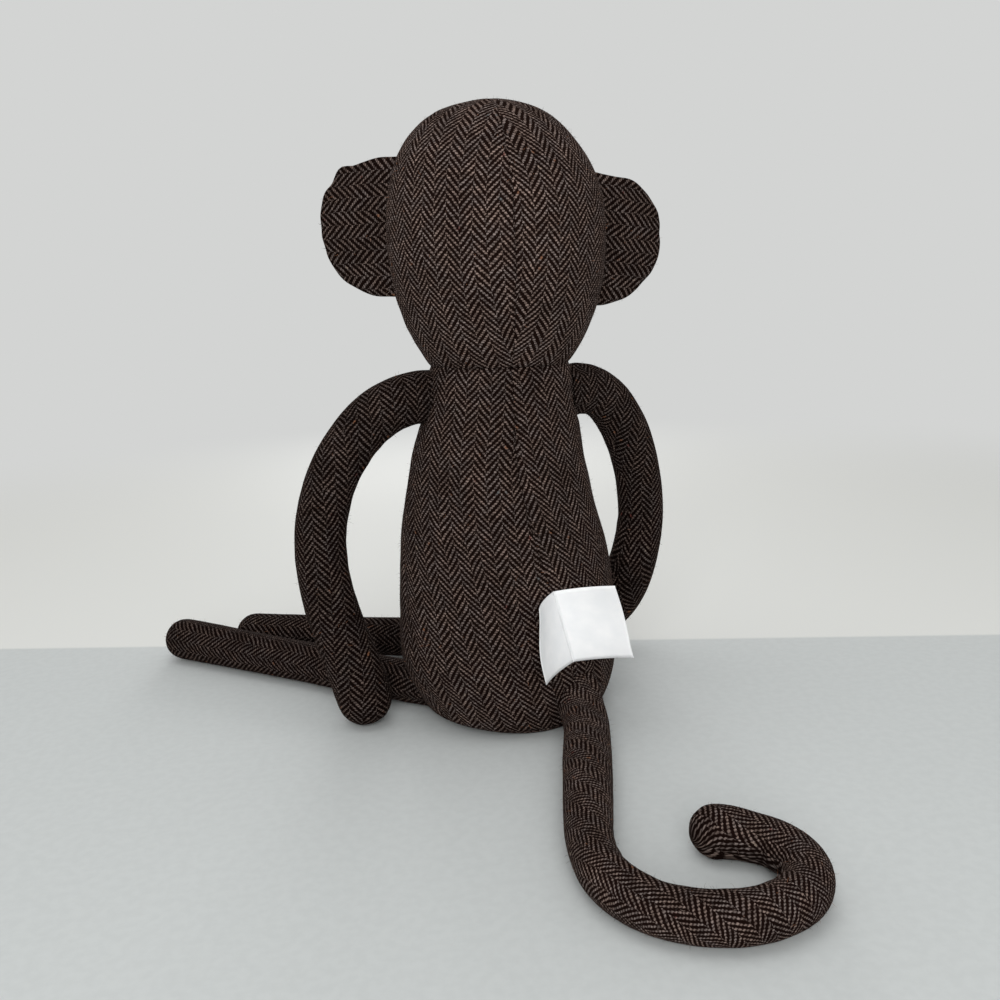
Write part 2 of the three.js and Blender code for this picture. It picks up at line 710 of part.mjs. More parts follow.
// Label leaf: a thin curled strip held at the back seam
function labelLeaf(lean) {
  const back = radians(BACK);
  const foot = surfacePoint(TORSO, back, LABEL_MIDDLE_AT - LABEL_LENGTH / 2, TOUCH_GAP);
  const head = surfacePoint(TORSO, back, LABEL_MIDDLE_AT + LABEL_LENGTH / 2, TOUCH_GAP);
  const middle = surfacePoint(TORSO, back, LABEL_MIDDLE_AT, TOUCH_GAP);
  const along = head.clone().sub(foot).normalize();
  const out = middle.clone().setZ(0).normalize();
  out.addScaledVector(along, -out.dot(along)).normalize();
  const skin = new Skin();
  const sideways = new THREE.Vector3().crossVectors(along, out).multiplyScalar(Math.sign(lean));
  const walk = middle.clone()
    .addScaledVector(out, LABEL_THICKNESS)
    .addScaledVector(sideways, LABEL_THICKNESS);
  const hinge = { at: walk.clone(), axis: along.clone() };
  let last = null;
  for (let i = 0; i <= LABEL_STEPS; i += 1) {
    const bend = radians(lean - Math.sign(lean) * LABEL_CURL * i / LABEL_STEPS);
    const ahead = out.clone().applyAxisAngle(along, bend);
    const thick = new THREE.Vector3().crossVectors(along, ahead);
    const corner = (up, side) => walk.clone()
      .addScaledVector(along, up * LABEL_LENGTH / 2)
      .addScaledVector(thick, side * LABEL_THICKNESS / 2);
    const ring = skin.ring([corner(-1, 1), corner(1, 1), corner(1, -1), corner(-1, -1)]);
    if (last) {
      skin.band(last, ring);
    } else {
      skin.quad(ring[3], ring[2], ring[1], ring[0]);
    }
    last = ring;
    walk.addScaledVector(ahead, LABEL_REACH / LABEL_STEPS);
  }
  skin.quad(last[0], last[1], last[2], last[3]);
  return { hinge, geometry: skin.geometry() };
}

// Face pieces: prisms through the front of the head, cut to thin layers that follow it
function faceLayer(from, to) {
  return headSolid(to).subtract(headSolid(from));
}

function frontPrism(shape) {
  const options = { depth: HEAD_DEPTH, bevelEnabled: false, curveSegments: OVAL_STEPS };
  const prism = new THREE.ExtrudeGeometry(shape, options);
  return toSolid(prism.rotateX(Math.PI / 2).translate(0, 0, TORSO_HEIGHT));
}

function oval(x, z, width, height) {
  const shape = new THREE.Shape();
  shape.absellipse(x, z, width / 2, height / 2, 0, FULL_TURN);
  return shape;
}

function mouthShape() {
  const half = MOUTH_WIDTH / 2;
  const dip = 2 * MOUTH_SAG;
  const shape = new THREE.Shape();
  shape.moveTo(-half, MOUTH_AT);
  shape.quadraticCurveTo(0, MOUTH_AT - dip, half, MOUTH_AT);
  shape.lineTo(half, MOUTH_AT + THREAD);
  shape.quadraticCurveTo(0, MOUTH_AT + THREAD - dip, -half, MOUTH_AT + THREAD);
  return shape;
}

function facePieces() {
  const felt = faceLayer(TOUCH_GAP, TOUCH_GAP + FELT);
  const overFelt = TOUCH_GAP + FELT + FILL_GAP;
  const stitch = faceLayer(overFelt, overFelt + THREAD / 2);
  const bead = faceLayer(overFelt, overFelt + EYE_RISE);
  const muzzle = frontPrism(oval(0, MUZZLE_AT, MUZZLE_WIDTH, MUZZLE_HEIGHT));
  const browLeft = frontPrism(oval(BROW_SPACING / 2, BROW_AT, BROW_WIDTH, BROW_HEIGHT));
  const browRight = frontPrism(oval(-BROW_SPACING / 2, BROW_AT, BROW_WIDTH, BROW_HEIGHT));
  const eye = (side) => frontPrism(oval(side * EYE_SPACING / 2, EYE_AT, EYE_DIAMETER, EYE_DIAMETER));
  const nose = frontPrism(oval(0, NOSE_AT, NOSE_WIDTH, NOSE_HEIGHT));
  return {
    patch: toGeometry(felt.intersect(muzzle.add(browLeft).add(browRight))),
    eyeLeft: toGeometry(bead.intersect(eye(1))),
    eyeRight: toGeometry(bead.intersect(eye(-1))),
    nose: toGeometry(stitch.intersect(nose)),
    mouth: toGeometry(stitch.intersect(frontPrism(mouthShape()))),
  };
}

// Assembly
const monkey = new THREE.Group();
monkey.userData.hinges = {};

function addPiece(name, geometry, material) {
  const faceted = geometry.clone();
  faceted.computeVertexNormals();
  const mesh = new THREE.Mesh(faceted, material);
  mesh.name = name;
  monkey.add(mesh);
}

function addLimb(name, limb, angles) {
  const pieces = limbPieces(limb, angles);
  addPiece(`${name}_cover`, pieces.cover, TWEED);
  addPiece(`${name}_stuffing`, pieces.stuffing, STUFFING);
  monkey.userData.hinges[name] = limb.hinge;
}

addPiece('torso_front', torsoPanel(RIGHT, ROUND), TWEED);
addPiece('torso_back_left', torsoPanel(LEFT, BACK), TWEED);
addPiece('torso_back_right', torsoPanel(BACK, RIGHT), TWEED);
addPiece('torso_base', basePanel(), TWEED);
addPiece('torso_stuffing', torsoStuffing(), STUFFING);

const head = headPieces();
addPiece('head_front', head.front, TWEED);
addPiece('head_back_left', head.backLeft, TWEED);
addPiece('head_back_right', head.backRight, TWEED);
addPiece('head_stuffing', head.stuffing, STUFFING);
monkey.userData.hinges.head = {
  at: new THREE.Vector3(0, 0, NECK_PIVOT_AT),
  axis: new THREE.Vector3(1, 0, 0),
};

[['ear_left', 1], ['ear_right', -1]].forEach(([name, side]) => {
  const ear = earPieces(side);
  addPiece(`${name}_front`, ear.front, TWEED);
  addPiece(`${name}_back`, ear.back, TWEED);
  addPiece(`${name}_wadding`, ear.wadding, STUFFING);
  monkey.userData.hinges[name] = ear.hinge;
});

addLimb('arm_left', armLimb(1, ARM_LEFT_SWING, ARM_LEFT_BENDS), [0, ARM_RAISE / 2, ARM_RAISE]);
addLimb('arm_right', armLimb(-1, ARM_RIGHT_SWING, ARM_RIGHT_BENDS), [0, ARM_RAISE / 2, ARM_RAISE]);
addLimb('leg_left', legLimb(1, LEG_LEFT_HEADING, LEG_LEFT_BENDS), [0, LEG_RAISE / 2, LEG_RAISE]);
addLimb('leg_right', legLimb(-1, LEG_RIGHT_HEADING, LEG_RIGHT_BENDS), [0, LEG_RAISE / 2, LEG_RAISE]);
addLimb('tail', tailLimb(), [-TAIL_SWING, 0, TAIL_SWING]);

[['label_right', LABEL_RIGHT_LEAN], ['label_left', -LABEL_LEFT_LEAN]].forEach(([name, lean]) => {
  const leaf = labelLeaf(lean);
  addPiece(name, leaf.geometry, SATIN);
  monkey.userData.hinges[name] = leaf.hinge;
});

const face = facePieces();
addPiece('face_patch', face.patch, FELT_TAN);
addPiece('eye_left', face.eyeLeft, BEAD_BLACK);
addPiece('eye_right', face.eyeRight, BEAD_BLACK);
addPiece('nose_stitch', face.nose, THREAD_BLACK);
addPiece('mouth_stitch', face.mouth, THREAD_BLACK);

export default monkey;
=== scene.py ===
import math

import bpy
import numpy as np
from mathutils import Matrix, Vector, noise


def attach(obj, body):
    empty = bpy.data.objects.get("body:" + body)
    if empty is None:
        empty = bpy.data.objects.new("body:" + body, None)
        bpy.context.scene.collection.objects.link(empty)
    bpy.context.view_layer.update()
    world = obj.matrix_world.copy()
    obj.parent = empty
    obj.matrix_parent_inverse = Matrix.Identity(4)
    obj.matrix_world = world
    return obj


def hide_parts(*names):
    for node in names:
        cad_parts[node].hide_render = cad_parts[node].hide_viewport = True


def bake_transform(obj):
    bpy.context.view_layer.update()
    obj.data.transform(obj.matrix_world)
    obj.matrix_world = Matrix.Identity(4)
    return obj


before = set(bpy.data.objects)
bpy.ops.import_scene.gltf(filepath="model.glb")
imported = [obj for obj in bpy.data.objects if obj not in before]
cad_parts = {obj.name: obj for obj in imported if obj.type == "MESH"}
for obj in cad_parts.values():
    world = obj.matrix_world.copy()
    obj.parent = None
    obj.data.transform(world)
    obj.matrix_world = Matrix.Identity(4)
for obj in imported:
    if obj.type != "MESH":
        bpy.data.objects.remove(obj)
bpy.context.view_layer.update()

# Plush monkey in herringbone tweed, sitting with its back to the camera.
# Millimetres until a mesh is made; +Z up, the face looks along -Y, the toy's left is +X.
MM = 0.001
SEED = 11
HEAD_SEED = 10
EAR_SEED = 20
LIMB_SEED = 30

# Torso, as in the part
TORSO_HEIGHT = 230.0
TORSO_WIDTH = 150.0
TORSO_DEPTH = 132.0
TORSO_WIDEST_AT = 42.0
TORSO_TWIST = 36.0
TWIST_EASE = 1.4
FLANK_EASE = 1.15
BASE_WIDTH = 120.0
BASE_SEAM = 3.0
NECK_WIDTH = 88.0
NECK_PIVOT_DROP = 15.0
NECK_TUCK = 12.0

# Head, as in the part
HEAD_HEIGHT = 157.0
HEAD_WIDTH = 136.0
HEAD_DEPTH = 126.0
HEAD_WIDEST_AT = 76.0
CROWN_POWER = 2.3
CHIN_POWER = 2.0

# Ears, as in the part
EAR_HEIGHT = 83.0
EAR_REACH = 52.0
EAR_THICKNESS = 13.0
EAR_MIDDLE_AT = 80.0
EAR_STAGGER = 5.0
EAR_SINK = 5.0
EAR_SETBACK = 6.0
EAR_LEFT_SWEEP = 33.0
EAR_RIGHT_SWEEP = 14.0
EAR_POWER = 2.5

# Arms, as in the part; a stretch is its length, its turn and its drop below level
ARM_LENGTH = 252.0
ARM_DIAMETER = 32.0
HAND_DIAMETER = 36.0
SHOULDER_DROP = 19.0
SHOULDER_HEIGHT = 33.0
SHOULDER_THICKNESS = 22.0
ARM_ROOT_DROP = -2.0
ARM_LEFT_SWING = 10.0
ARM_RIGHT_SWING = -36.0
ARM_LEFT_BENDS = [(46.0, 0.0, 44.0), (80.0, 0.0, 88.0), (50.0, 0.0, 106.0), (None, 0.0, 104.0)]
ARM_RIGHT_BENDS = [(46.0, 0.0, 46.0), (68.0, 0.0, 81.0), (50.0, 102.0, 108.0), (None, 110.0, 155.0)]

# Legs, as in the part; a stretch is its length and its heading
LEG_LENGTH = 228.0
LEG_DIAMETER = 29.0
FOOT_DIAMETER = 31.0
LEG_SPREAD = 40.0
LEG_ROOT_WIDTH = 32.0
LEG_LEFT_HEADING = -34.0
LEG_RIGHT_HEADING = -84.0
LEG_LEFT_BENDS = [(45.0, -39.0), (None, -40.0)]
LEG_RIGHT_BENDS = [(34.0, -16.0), (None, -23.0)]
FLOOR_GAP = 0.2

# Tail, as in the part; a stretch is its length, its heading and its drop
TAIL_LENGTH = 371.0
TAIL_DIAMETER = 28.0
TAIL_TIP_DIAMETER = 23.0
TAIL_TAPER_FROM = 80.0
TAIL_TAPER_TO = 215.0
TAIL_ROOT_WIDTH = 31.0
TAIL_HEADING = 93.0
TAIL_DROP = 24.0
TAIL_BENDS = [
    (34.0, 75.0, 0.0),
    (104.0, 75.0, 1.2),
    (35.0, 90.0, 1.2),
    (61.0, 158.0, 0.0),
    (45.0, 207.0, 0.0),
    (47.0, 297.0, 0.0),
    (None, 371.0, 0.0),
]

# Label, as in the part
LABEL_LENGTH = 48.0
LABEL_REACH = 38.0
LABEL_THICKNESS = 0.6
LABEL_MIDDLE_AT = 72.0
LABEL_RIGHT_LEAN = 62.0
LABEL_LEFT_LEAN = 71.0
LABEL_CURL = 24.0
TOUCH_GAP = 0.4

# Face, as in the part
FELT = 1.5
MUZZLE_WIDTH = 84.0
MUZZLE_HEIGHT = 50.0
MUZZLE_AT = 52.0
BROW_WIDTH = 46.0
BROW_HEIGHT = 52.0
BROW_AT = 92.0
BROW_SPACING = 36.0
EYE_DIAMETER = 11.0
EYE_RISE = 3.0
EYE_AT = 84.0
EYE_SPACING = 34.0
NOSE_WIDTH = 16.0
NOSE_HEIGHT = 8.0
NOSE_AT = 63.0
MOUTH_WIDTH = 40.0
MOUTH_SAG = 10.0
MOUTH_AT = 47.0
THREAD = 2.0

# How the cloth has settled over the part
TORSO_LEAN = 3.5
TORSO_LEAN_RISE = (70.0, 150.0)
TORSO_LEAN_FALL = (165.0, 212.0)
BASE_TUCK = 7.0
BASE_TUCK_TOWARDS = 28.0
BASE_TUCK_FADE = (8.0, 48.0)
HEAD_LEAN = 3.0
HEAD_LEAN_FROM = 320.0
LABEL_LEFT_SWING = -7.0
LABEL_LEFT_TWIST = 6.5
LABEL_LEFT_TILT = 0.14
LABEL_RIGHT_SWING = -5.0
LABEL_RIGHT_TILT = -0.08
LABEL_FOLD = 0.25
LABEL_FOLD_WIDTH = 0.8
LABEL_WAVE = 1.2
LABEL_WAVES = 5.0
RIBBON_SHARE = 0.6
TAIL_TIP_SWELL = 3.0
TAIL_TIP_SWELL_REACH = 34.0
BASE_FOLD_IN = 0.94
HEAD_TUCK = 2.0

# Ears: a dent in the outline is its angle, its depth as a share and its spread; 1 is the left ear
EAR_DENTS = {
    1: [
        (62.0, 0.02, 4.0),
        (53.0, -0.05, 7.0),
        (40.0, 0.02, 4.0),
        (0.0, 0.015, 14.0),
        (-21.0, 0.05, 12.0),
        (-38.0, 0.04, 10.0),
        (-56.0, 0.05, 12.0),
    ],
    -1: [(72.0, 0.05, 12.0), (38.0, 0.02, 14.0), (4.0, 0.015, 6.0), (-42.0, 0.07, 22.0)],
}
EAR_WRAP = 104.0
EAR_SCALLOP = 0.016
EAR_SCALLOP_ARC = 40.0
EAR_SCALLOP_LENGTH = 9.0
EAR_SCALLOP_SHIFT = 3.1
EAR_FLAT_SHARE = 0.86
EAR_RIM_SHARE = 0.9
EAR_CROWN = 2.6
EAR_EDGE = 0.55
EAR_PUCKER_SHIFT = 5.7
EAR_PUCKER_FADE = 8
EAR_LUMP_SHIFT = 40.0
EAR_LUMP_FADE = 4
EAR_SOFTNESS = 0.6

# How the face is sewn; its edge steps are a share of the reach and of the felt's lift
FACE_MIDDLE = 74.0
FACE_LIFT = 1.2
FACE_FLAT_SHARE = 0.94
FACE_EDGE = [(0.965, 0.96), (0.985, 0.84), (0.996, 0.6), (1.0, 0.25), (0.99, -1.2)]
STITCH_COUNT = 64
STITCH_INSET = 2.4
STITCH_SHARE = 0.55
STITCH_WIDTH = 0.9
STITCH_HUMP = 0.7
STITCH_SINK = 0.5
STRAND_STEP = 0.3
NOSE_STITCHES = 17
NOSE_THREAD = 1.1
MOUTH_STITCHES = 9
EYE_BULGE = 1.3
EYE_TUCK = 0.97
EYE_SINK = -1.0

# Spans in millimetres at the neck, the ears and the limbs, handed to bend_dress, which does not use them
NECK_BEND = (-1.0, 24.0)
EAR_BEND = (3.0, 18.0)
LIMB_BEND = 26.0

# Cloth relief
SEAM_DEPTH = 0.6
SEAM_WIDTH = 2.2
SEAM_TUCK = 2.0
SEAM_FOLD = 0.12
LIMB_SOFTNESS = 0.55
LIMB_SEAM = 0.6
CROWN_FADE = 40.0
PUCKER_DEPTH = 0.6
PUCKER_REACH = 8.0
PUCKER_LENGTH = 9.0
LUMP_DEPTH = 1.1
LUMP_SIZE = 46.0
DIMPLE_DEPTH = 0.4
DIMPLE_SIZE = 17.0
DIMPLE_SHIFT = 7.3
WRINKLE_DEPTH = 1.5
WRINKLE_LENGTH = 8.0
WRINKLE_BEND = 0.03
WRINKLE_SLANT = 3.0
WRINKLE_SHIFT = 31.0
GATHER_DEPTH = 0.9
GATHER_COUNT = 7
GATHER_REACH = 13.0
GATHER_WANDER = 2.0
GATHER_WANDER_TURN = 0.5
ROOT_GROOVE = 1.6
ROOT_WIDTH = 3.0
ROOT_CREASE = 1.3
ROOT_REACH = 9.0
ROOT_CREASES = 11.0
ROOT_BEHIND = 25.0

# Loose fibres
FIBRES_PER_SQUARE_METRE = 42000
FIBRE_LENGTH = 2.4
FIBRE_WIDTH = 0.11
FIBRE_STAND = 0.9
FIBRE_CURL = 0.3
FIBRE_SPREAD = (0.4, 1.3)
FIBRE_FLATTEST = 0.1
FIBRE_SIDEWAYS = 0.3
FIBRE_CORNERS = 7

# Fineness of the meshes
CELL = 2.6
LIMB_SIDES = 40
TIP_STEPS = 9
EAR_SPOKES = 64
LABEL_COLUMNS = 24
LABEL_ROWS = 20
LABEL_FOLD_SIDES = 12
EAR_RINGS = 18
EAR_RIM_RINGS = 7
FACE_SPOKES = 120
FACE_RINGS = 22
OUTLINE_STEPS = 400
STITCH_STEPS = 6
STITCH_SIDES = 6
EYE_SPOKES = 40
EYE_RINGS = 14
WALK_STEP = 0.5
BEND_STEPS = 8
ARC_STEPS = 720
LEVEL_STEPS = 600
TIP_LEAST = 0.02
SMALL = 1e-6

# Herringbone, in millimetres of cloth
COLUMN_WIDTH = 7.8
LINE_SPACING = 4.4
EAR_LINE_SPACING = 5.0
TAIL_LINE_SPACING = 3.75
LINE_SLOPE = 1.13
YARN_PITCH = 1.35
SECOND_PIECE_SHIFT = 0.4
LIMB_SHIFT = 0.37
ARM_GRAIN = 90.0
TAIL_GRAIN = 119.0
EAR_GRAIN = {1: 0.0, -1: 7.0}

# Tweed: a noise is its scale and detail, an ease is from, to and the values there
DARK_YARN = (22, 12, 9)
WARM_YARN = (140, 121, 112)
COOL_YARN = (133, 120, 115)
TWEED_SHEEN = (190, 120, 90)
TWEED_SHEEN_WEIGHT = 0.01
TWEED_ROUGHNESS = 0.95
TWEED_GLOSS = 0.015
# Painted light and shade per part: each part's yarn colours are scaled to stand in for the light it gets,
# lighter on the head and darker on the torso, tail, ears and limbs
HEAD_PAINTED_LIGHT = 1.06
TORSO_PAINTED_SHADE = 0.83
TAIL_PAINTED_SHADE = 0.9
EARS_PAINTED_SHADE = 0.7
LIMBS_PAINTED_SHADE = 0.5
NOISE_MIDDLE = (0.5, 0.5, 0.5)
DRIFT_NOISE = (0.05, 1.0)
DRIFT_REACH = 3.0
SHAKE_NOISE = (0.6, 2.0)
SHAKE_REACH = 1.2
LINE_EASE = (0.5, 0.72)
FLOAT_EASE = (1.0, -0.7, 0.25, 1.0)
UNEVEN_EASE = (0.0, 1.0, 0.55, 1.1)
SLUB_NOISE = (0.4, 2.0)
SLUB_EASE = (0.32, 0.68, 0.55, 1.2)
HUE_NOISE = (0.09, 2.0)
HUE_EASE = (0.38, 0.62)
MOTTLE_NOISE = (0.035, 3.0)
MOTTLE_EASE = (0.3, 0.7, 0.84, 1.14)
FUZZ_NOISE = (2.2, 3.0)
YARN_RELIEF = 0.8
FUZZ_RELIEF = 0.5
TWEED_BUMP = (0.7, 0.0006)
FLECK_SCALE = 0.17
FLECK_CHANCE = 0.9
FLECK_EASE = (0.3, 0.14)
FLECK_STRENGTH = 0.6
FLECK_TINTS = [(0.0, (140, 92, 62)), (0.34, (160, 142, 128)), (0.62, (82, 90, 92)), (0.8, (108, 50, 44))]
FIBRE_TINTS = [(0.0, (38, 28, 25)), (0.4, (84, 70, 64)), (0.72, (126, 108, 98)), (0.93, (146, 96, 66))]
FIBRE_ROUGHNESS = 0.9

# Label ribbon, felt, thread and beads
RIBBON_WHITE = (250, 250, 250)
RIBBON_DULL = (242, 243, 244)
RIBBON_SHADE = (214, 216, 218)
RIBBON_STAIN_NOISE = (0.09, 3.0)
RIBBON_STAIN_EASE = (0.3, 0.75)
RIBBON_SHADE_EASE = (-0.8, 0.8, 0.0, 0.12)
RIB_PITCH = 0.55
RIB_RELIEF = 0.5
CROSS_PITCH = 0.4
CROSS_RELIEF = 0.3
RIBBON_BUMP = (0.25, 0.0002)
RIBBON_ROUGHNESS = 0.55
RIBBON_SHEEN_WEIGHT = 0.1
FELT_DARK = (158, 126, 94)
FELT_LIGHT = (204, 174, 140)
FELT_WORN = (172, 140, 108)
FELT_SHEEN = (230, 214, 196)
FELT_FIBRE_NOISE = (1.1, 6.0)
FELT_FIBRE_EASE = (0.3, 0.7)
FELT_CLOUD_NOISE = (0.12, 3.0)
FELT_CLOUD_EASE = (0.35, 0.7, 0.0, 0.35)
FELT_BUMP = (0.5, 0.0005)
FELT_ROUGHNESS = 0.97
FELT_SHEEN_WEIGHT = 0.3
# Thread: painted shade in the grooves between strands and painted highlight on their crowns
THREAD_PAINTED_SHADE = (14, 10, 9)
THREAD_PAINTED_HIGHLIGHT = (58, 47, 42)
STRAND_PITCH = 0.7
STRAND_BUMP = (0.6, 0.0003)
THREAD_ROUGHNESS = 0.5
THREAD_SHEEN_WEIGHT = 0.1
BEAD_DARK = (9, 8, 8)
BEAD_LIGHT = (22, 18, 17)
SMUDGE_NOISE = (0.5, 4.0)
SMUDGE_ROUGHNESS = (0.3, 0.8, 0.08, 0.22)
BEAD_COAT = 0.4

# Stage, in metres
FLOOR_COLOUR = (207, 211, 210)
FLOOR_FLECK = (203, 207, 206)
FLOOR_GRAIN_NOISE = (180.0, 3.0)
FLOOR_GRAIN_EASE = (0.3, 0.7)
FLOOR_ROUGHNESS = 0.7
FLOOR_SIZE = 6.0
FLOOR_FADE = (0.75, 1.5)
WALL_COLOUR = (211, 212, 211)
WALL_FOOT_COLOUR = (231, 232, 228)
WALL_AT = (0.0, -0.121)
WALL_NORMAL = (0.2315, 0.9728)
WALL_LINE = 0.003

# Lights: place and size in metres, power in watts
WORLD_LIGHT = 0.46
LIGHT_TARGET = (0.0, 0.0, 0.2)
LIGHTS = {
    "soft_above": ((0.25, 0.2, 1.7), 1.2, 5.6),
    "soft_by_camera": ((0.36, 1.8, 0.85), 1.2, 23.0),
    "soft_off_wall": ((-0.3, -2.4, 0.6), 1.0, 16.0),
}

# Camera, in metres, degrees and millimetres of lens
CAMERA_AT = (0.1141, 0.6298, 0.277)
CAMERA_HEADING = (-0.1736, -0.9848)
CAMERA_PITCH = 12.0
CAMERA_ROLL = 2.0
CAMERA_LENS = 36.0
CAMERA_SENSOR = 36.0
CAMERA_NEAR = 0.01

# Directions round the toy, in degrees from its left towards its back
LEFT = 0.0
BACK = 90.0
RIGHT = 180.0
FRONT = 270.0
ROUND = 360.0
UP = np.array([0.0, 0.0, 1.0])

# Panels: name, the directions it runs between, and how far its weave is shifted
TORSO_PANELS = [
    ("torso_front", RIGHT, ROUND, 3.0),
    ("torso_back_left", LEFT, BACK, 1.5),
    ("torso_back_right", BACK, RIGHT, 6.0),
]
HEAD_PANELS = [
    ("head_front", RIGHT, ROUND, 2.0),
    ("head_back_left", LEFT, BACK, 4.0),
    ("head_back_right", BACK, RIGHT, 0.5),
]
EAR_WEAVE_SHIFT = {"front": 1.0, "back": 5.0}

# Colour sockets of Blender's mix node
MIX_FIRST = 6
MIX_SECOND = 7
MIX_RESULT = 2


def colour(red, green, blue, alpha=1.0):
    """Linear colour of an sRGB one given from 0 to 255."""
    def linear(value):
        share = value / 255
        return share / 12.92 if share <= 0.04045 else ((share + 0.055) / 1.055) ** 2.4
    return (linear(red), linear(green), linear(blue), alpha)


def mix(first, second, share):
    return first + (second - first) * share


def smoothstep(value, low, high):
    share = np.clip((value - low) / (high - low), 0, 1)
    return share * share * (3 - 2 * share)


def unit(vector):
    return vector / np.linalg.norm(vector)


def noise_at(points, size, shift=0.0):
    """Smooth noise from -1 to 1 at points in millimetres."""
    flat = points.reshape(-1, 3) / size + shift
    values = [noise.noise(Vector(p)) for p in flat]
    return np.array(values).reshape(points.shape[:-1])


def noise_along(distance, size, shift):
    """Smooth noise along a line."""
    points = np.stack([distance, np.zeros_like(distance), np.zeros_like(distance)], axis=-1)
    return noise_at(points, size, shift)


# Stacked surfaces


class Form:
    """A surface of stacked ovals, with a radius across, a turn about Z and a lean at each height."""

    def __init__(self, radius, twist, lean, ratio, low, high):
        self.radius = radius
        self.twist = twist
        self.lean = lean
        self.ratio = ratio
        self.low = low
        self.high = high
        angles = np.linspace(0, 2 * math.pi, ARC_STEPS + 1)
        middles = (angles[1:] + angles[:-1]) / 2
        steps = np.hypot(np.sin(middles), ratio * np.cos(middles)) * np.diff(angles)
        self.angles = angles
        self.arcs = np.concatenate([[0], np.cumsum(steps)])

    def arc(self, angle):
        """Length round an oval of radius 1, from the toy's left."""
        return np.interp(angle, self.angles, self.arcs)

    def point(self, angle, z, offset=0.0):
        low = np.maximum(self.low, z - WALK_STEP)
        high = np.minimum(self.high, z + WALK_STEP)
        slope = (self.radius(high) - self.radius(low)) / (high - low)
        outward = 1 / np.hypot(1, slope)
        across = self.radius(z) + offset * outward
        deep = self.radius(z) * self.ratio + offset * outward
        x = across * np.cos(angle)
        y = deep * np.sin(angle)
        turn = self.twist(z)
        height = z - offset * outward * slope
        aside = x * np.cos(turn) - y * np.sin(turn) + self.lean(z)
        behind = x * np.sin(turn) + y * np.cos(turn)
        return np.stack(np.broadcast_arrays(aside, behind, height), axis=-1)

    def levels(self, low, high):
        """Heights evenly spaced along the surface, and the length to each."""
        fine = low + (high - low) * np.sin(np.linspace(0, math.pi / 2, LEVEL_STEPS))
        steps = np.hypot(np.diff(fine), np.diff(self.radius(fine)))
        lengths = np.concatenate([[0], np.cumsum(steps)])
        even = np.linspace(0, lengths[-1], round(lengths[-1] / CELL) + 1)
        return np.interp(even, lengths, fine), even


# Measures that follow from the sizes
TORSO_RATIO = TORSO_DEPTH / TORSO_WIDTH
NECK_PIVOT_AT = TORSO_HEIGHT - NECK_PIVOT_DROP
NECK_BALL_DEPTH = math.hypot(NECK_WIDTH / 2 * TORSO_RATIO, NECK_PIVOT_DROP)
NECK_BALL_WIDTH = NECK_BALL_DEPTH / TORSO_RATIO
TORSO_TOP = NECK_PIVOT_AT + NECK_BALL_DEPTH
HEAD_TOP = TORSO_HEIGHT + HEAD_HEIGHT
HEAD_WIDEST = TORSO_HEIGHT + HEAD_WIDEST_AT
CHIN_DEPTH = HEAD_WIDEST_AT / (1 - (NECK_WIDTH / HEAD_WIDTH) ** CHIN_POWER) ** (1 / CHIN_POWER)
NECK_BLEND = [(0.0, 0.0, TORSO_HEIGHT + rise) for rise in NECK_BEND]


def torso_radius(z):
    z = np.asarray(z, float)
    below = 1 - np.clip(z, 0, TORSO_WIDEST_AT) / TORSO_WIDEST_AT
    base = mix(BASE_WIDTH / 2, TORSO_WIDTH / 2, np.sqrt(1 - below * below))
    down = np.clip((NECK_PIVOT_AT - z) / (NECK_PIVOT_AT - TORSO_WIDEST_AT), 0, 1)
    flank = mix(NECK_BALL_WIDTH, TORSO_WIDTH / 2, np.sin(math.pi / 2 * down ** FLANK_EASE))
    up = np.clip((z - NECK_PIVOT_AT) / NECK_BALL_DEPTH, 0, 1)
    neck = NECK_BALL_WIDTH * np.sqrt(1 - up * up)
    return np.where(z < TORSO_WIDEST_AT, base, np.where(z < NECK_PIVOT_AT, flank, neck))


def torso_twist(z):
    down = np.clip(1 - np.asarray(z, float) / NECK_PIVOT_AT, 0, 1)
    return math.radians(TORSO_TWIST) * down ** TWIST_EASE


def head_radius(z):
    z = np.asarray(z, float)
    rise = np.clip((z - HEAD_WIDEST) / (HEAD_TOP - HEAD_WIDEST), 0, 1)
    fall = np.clip((HEAD_WIDEST - z) / CHIN_DEPTH, 0, 1)
    crown = (1 - rise ** CROWN_POWER) ** (1 / CROWN_POWER)
    chin = (1 - fall ** CHIN_POWER) ** (1 / CHIN_POWER)
    return HEAD_WIDTH / 2 * np.where(z > HEAD_WIDEST, crown, chin)


def straight(z):
    return np.zeros_like(np.asarray(z, float))


def torso_lean(z):
    """The stuffing has settled a little to the toy's left half way up."""
    return TORSO_LEAN * (smoothstep(z, *TORSO_LEAN_RISE) - smoothstep(z, *TORSO_LEAN_FALL))


def head_lean(z):
    return HEAD_LEAN * smoothstep(z, HEAD_LEAN_FROM, HEAD_TOP)


TORSO = Form(torso_radius, torso_twist, torso_lean, TORSO_RATIO, 0.0, TORSO_TOP)
HEAD = Form(head_radius, straight, head_lean, HEAD_DEPTH / HEAD_WIDTH, NECK_PIVOT_AT, HEAD_TOP)


# Meshes


def link(obj):
    bpy.context.scene.collection.objects.link(obj)


def make_object(name, points, faces, weave, material):
    """Smooth mesh from points in millimetres; weave holds one cloth place per face corner."""
    mesh = bpy.data.meshes.new(name)
    mesh.from_pydata((np.asarray(points).reshape(-1, 3) * MM).tolist(), [], faces)
    layer = mesh.uv_layers.new(name="weave")
    layer.data.foreach_set("uv", np.asarray(weave, np.float32).reshape(-1))
    mesh.polygons.foreach_set("use_smooth", [True] * len(mesh.polygons))
    mesh.materials.append(material)
    mesh.update()
    obj = bpy.data.objects.new(name, mesh)
    link(obj)
    return obj


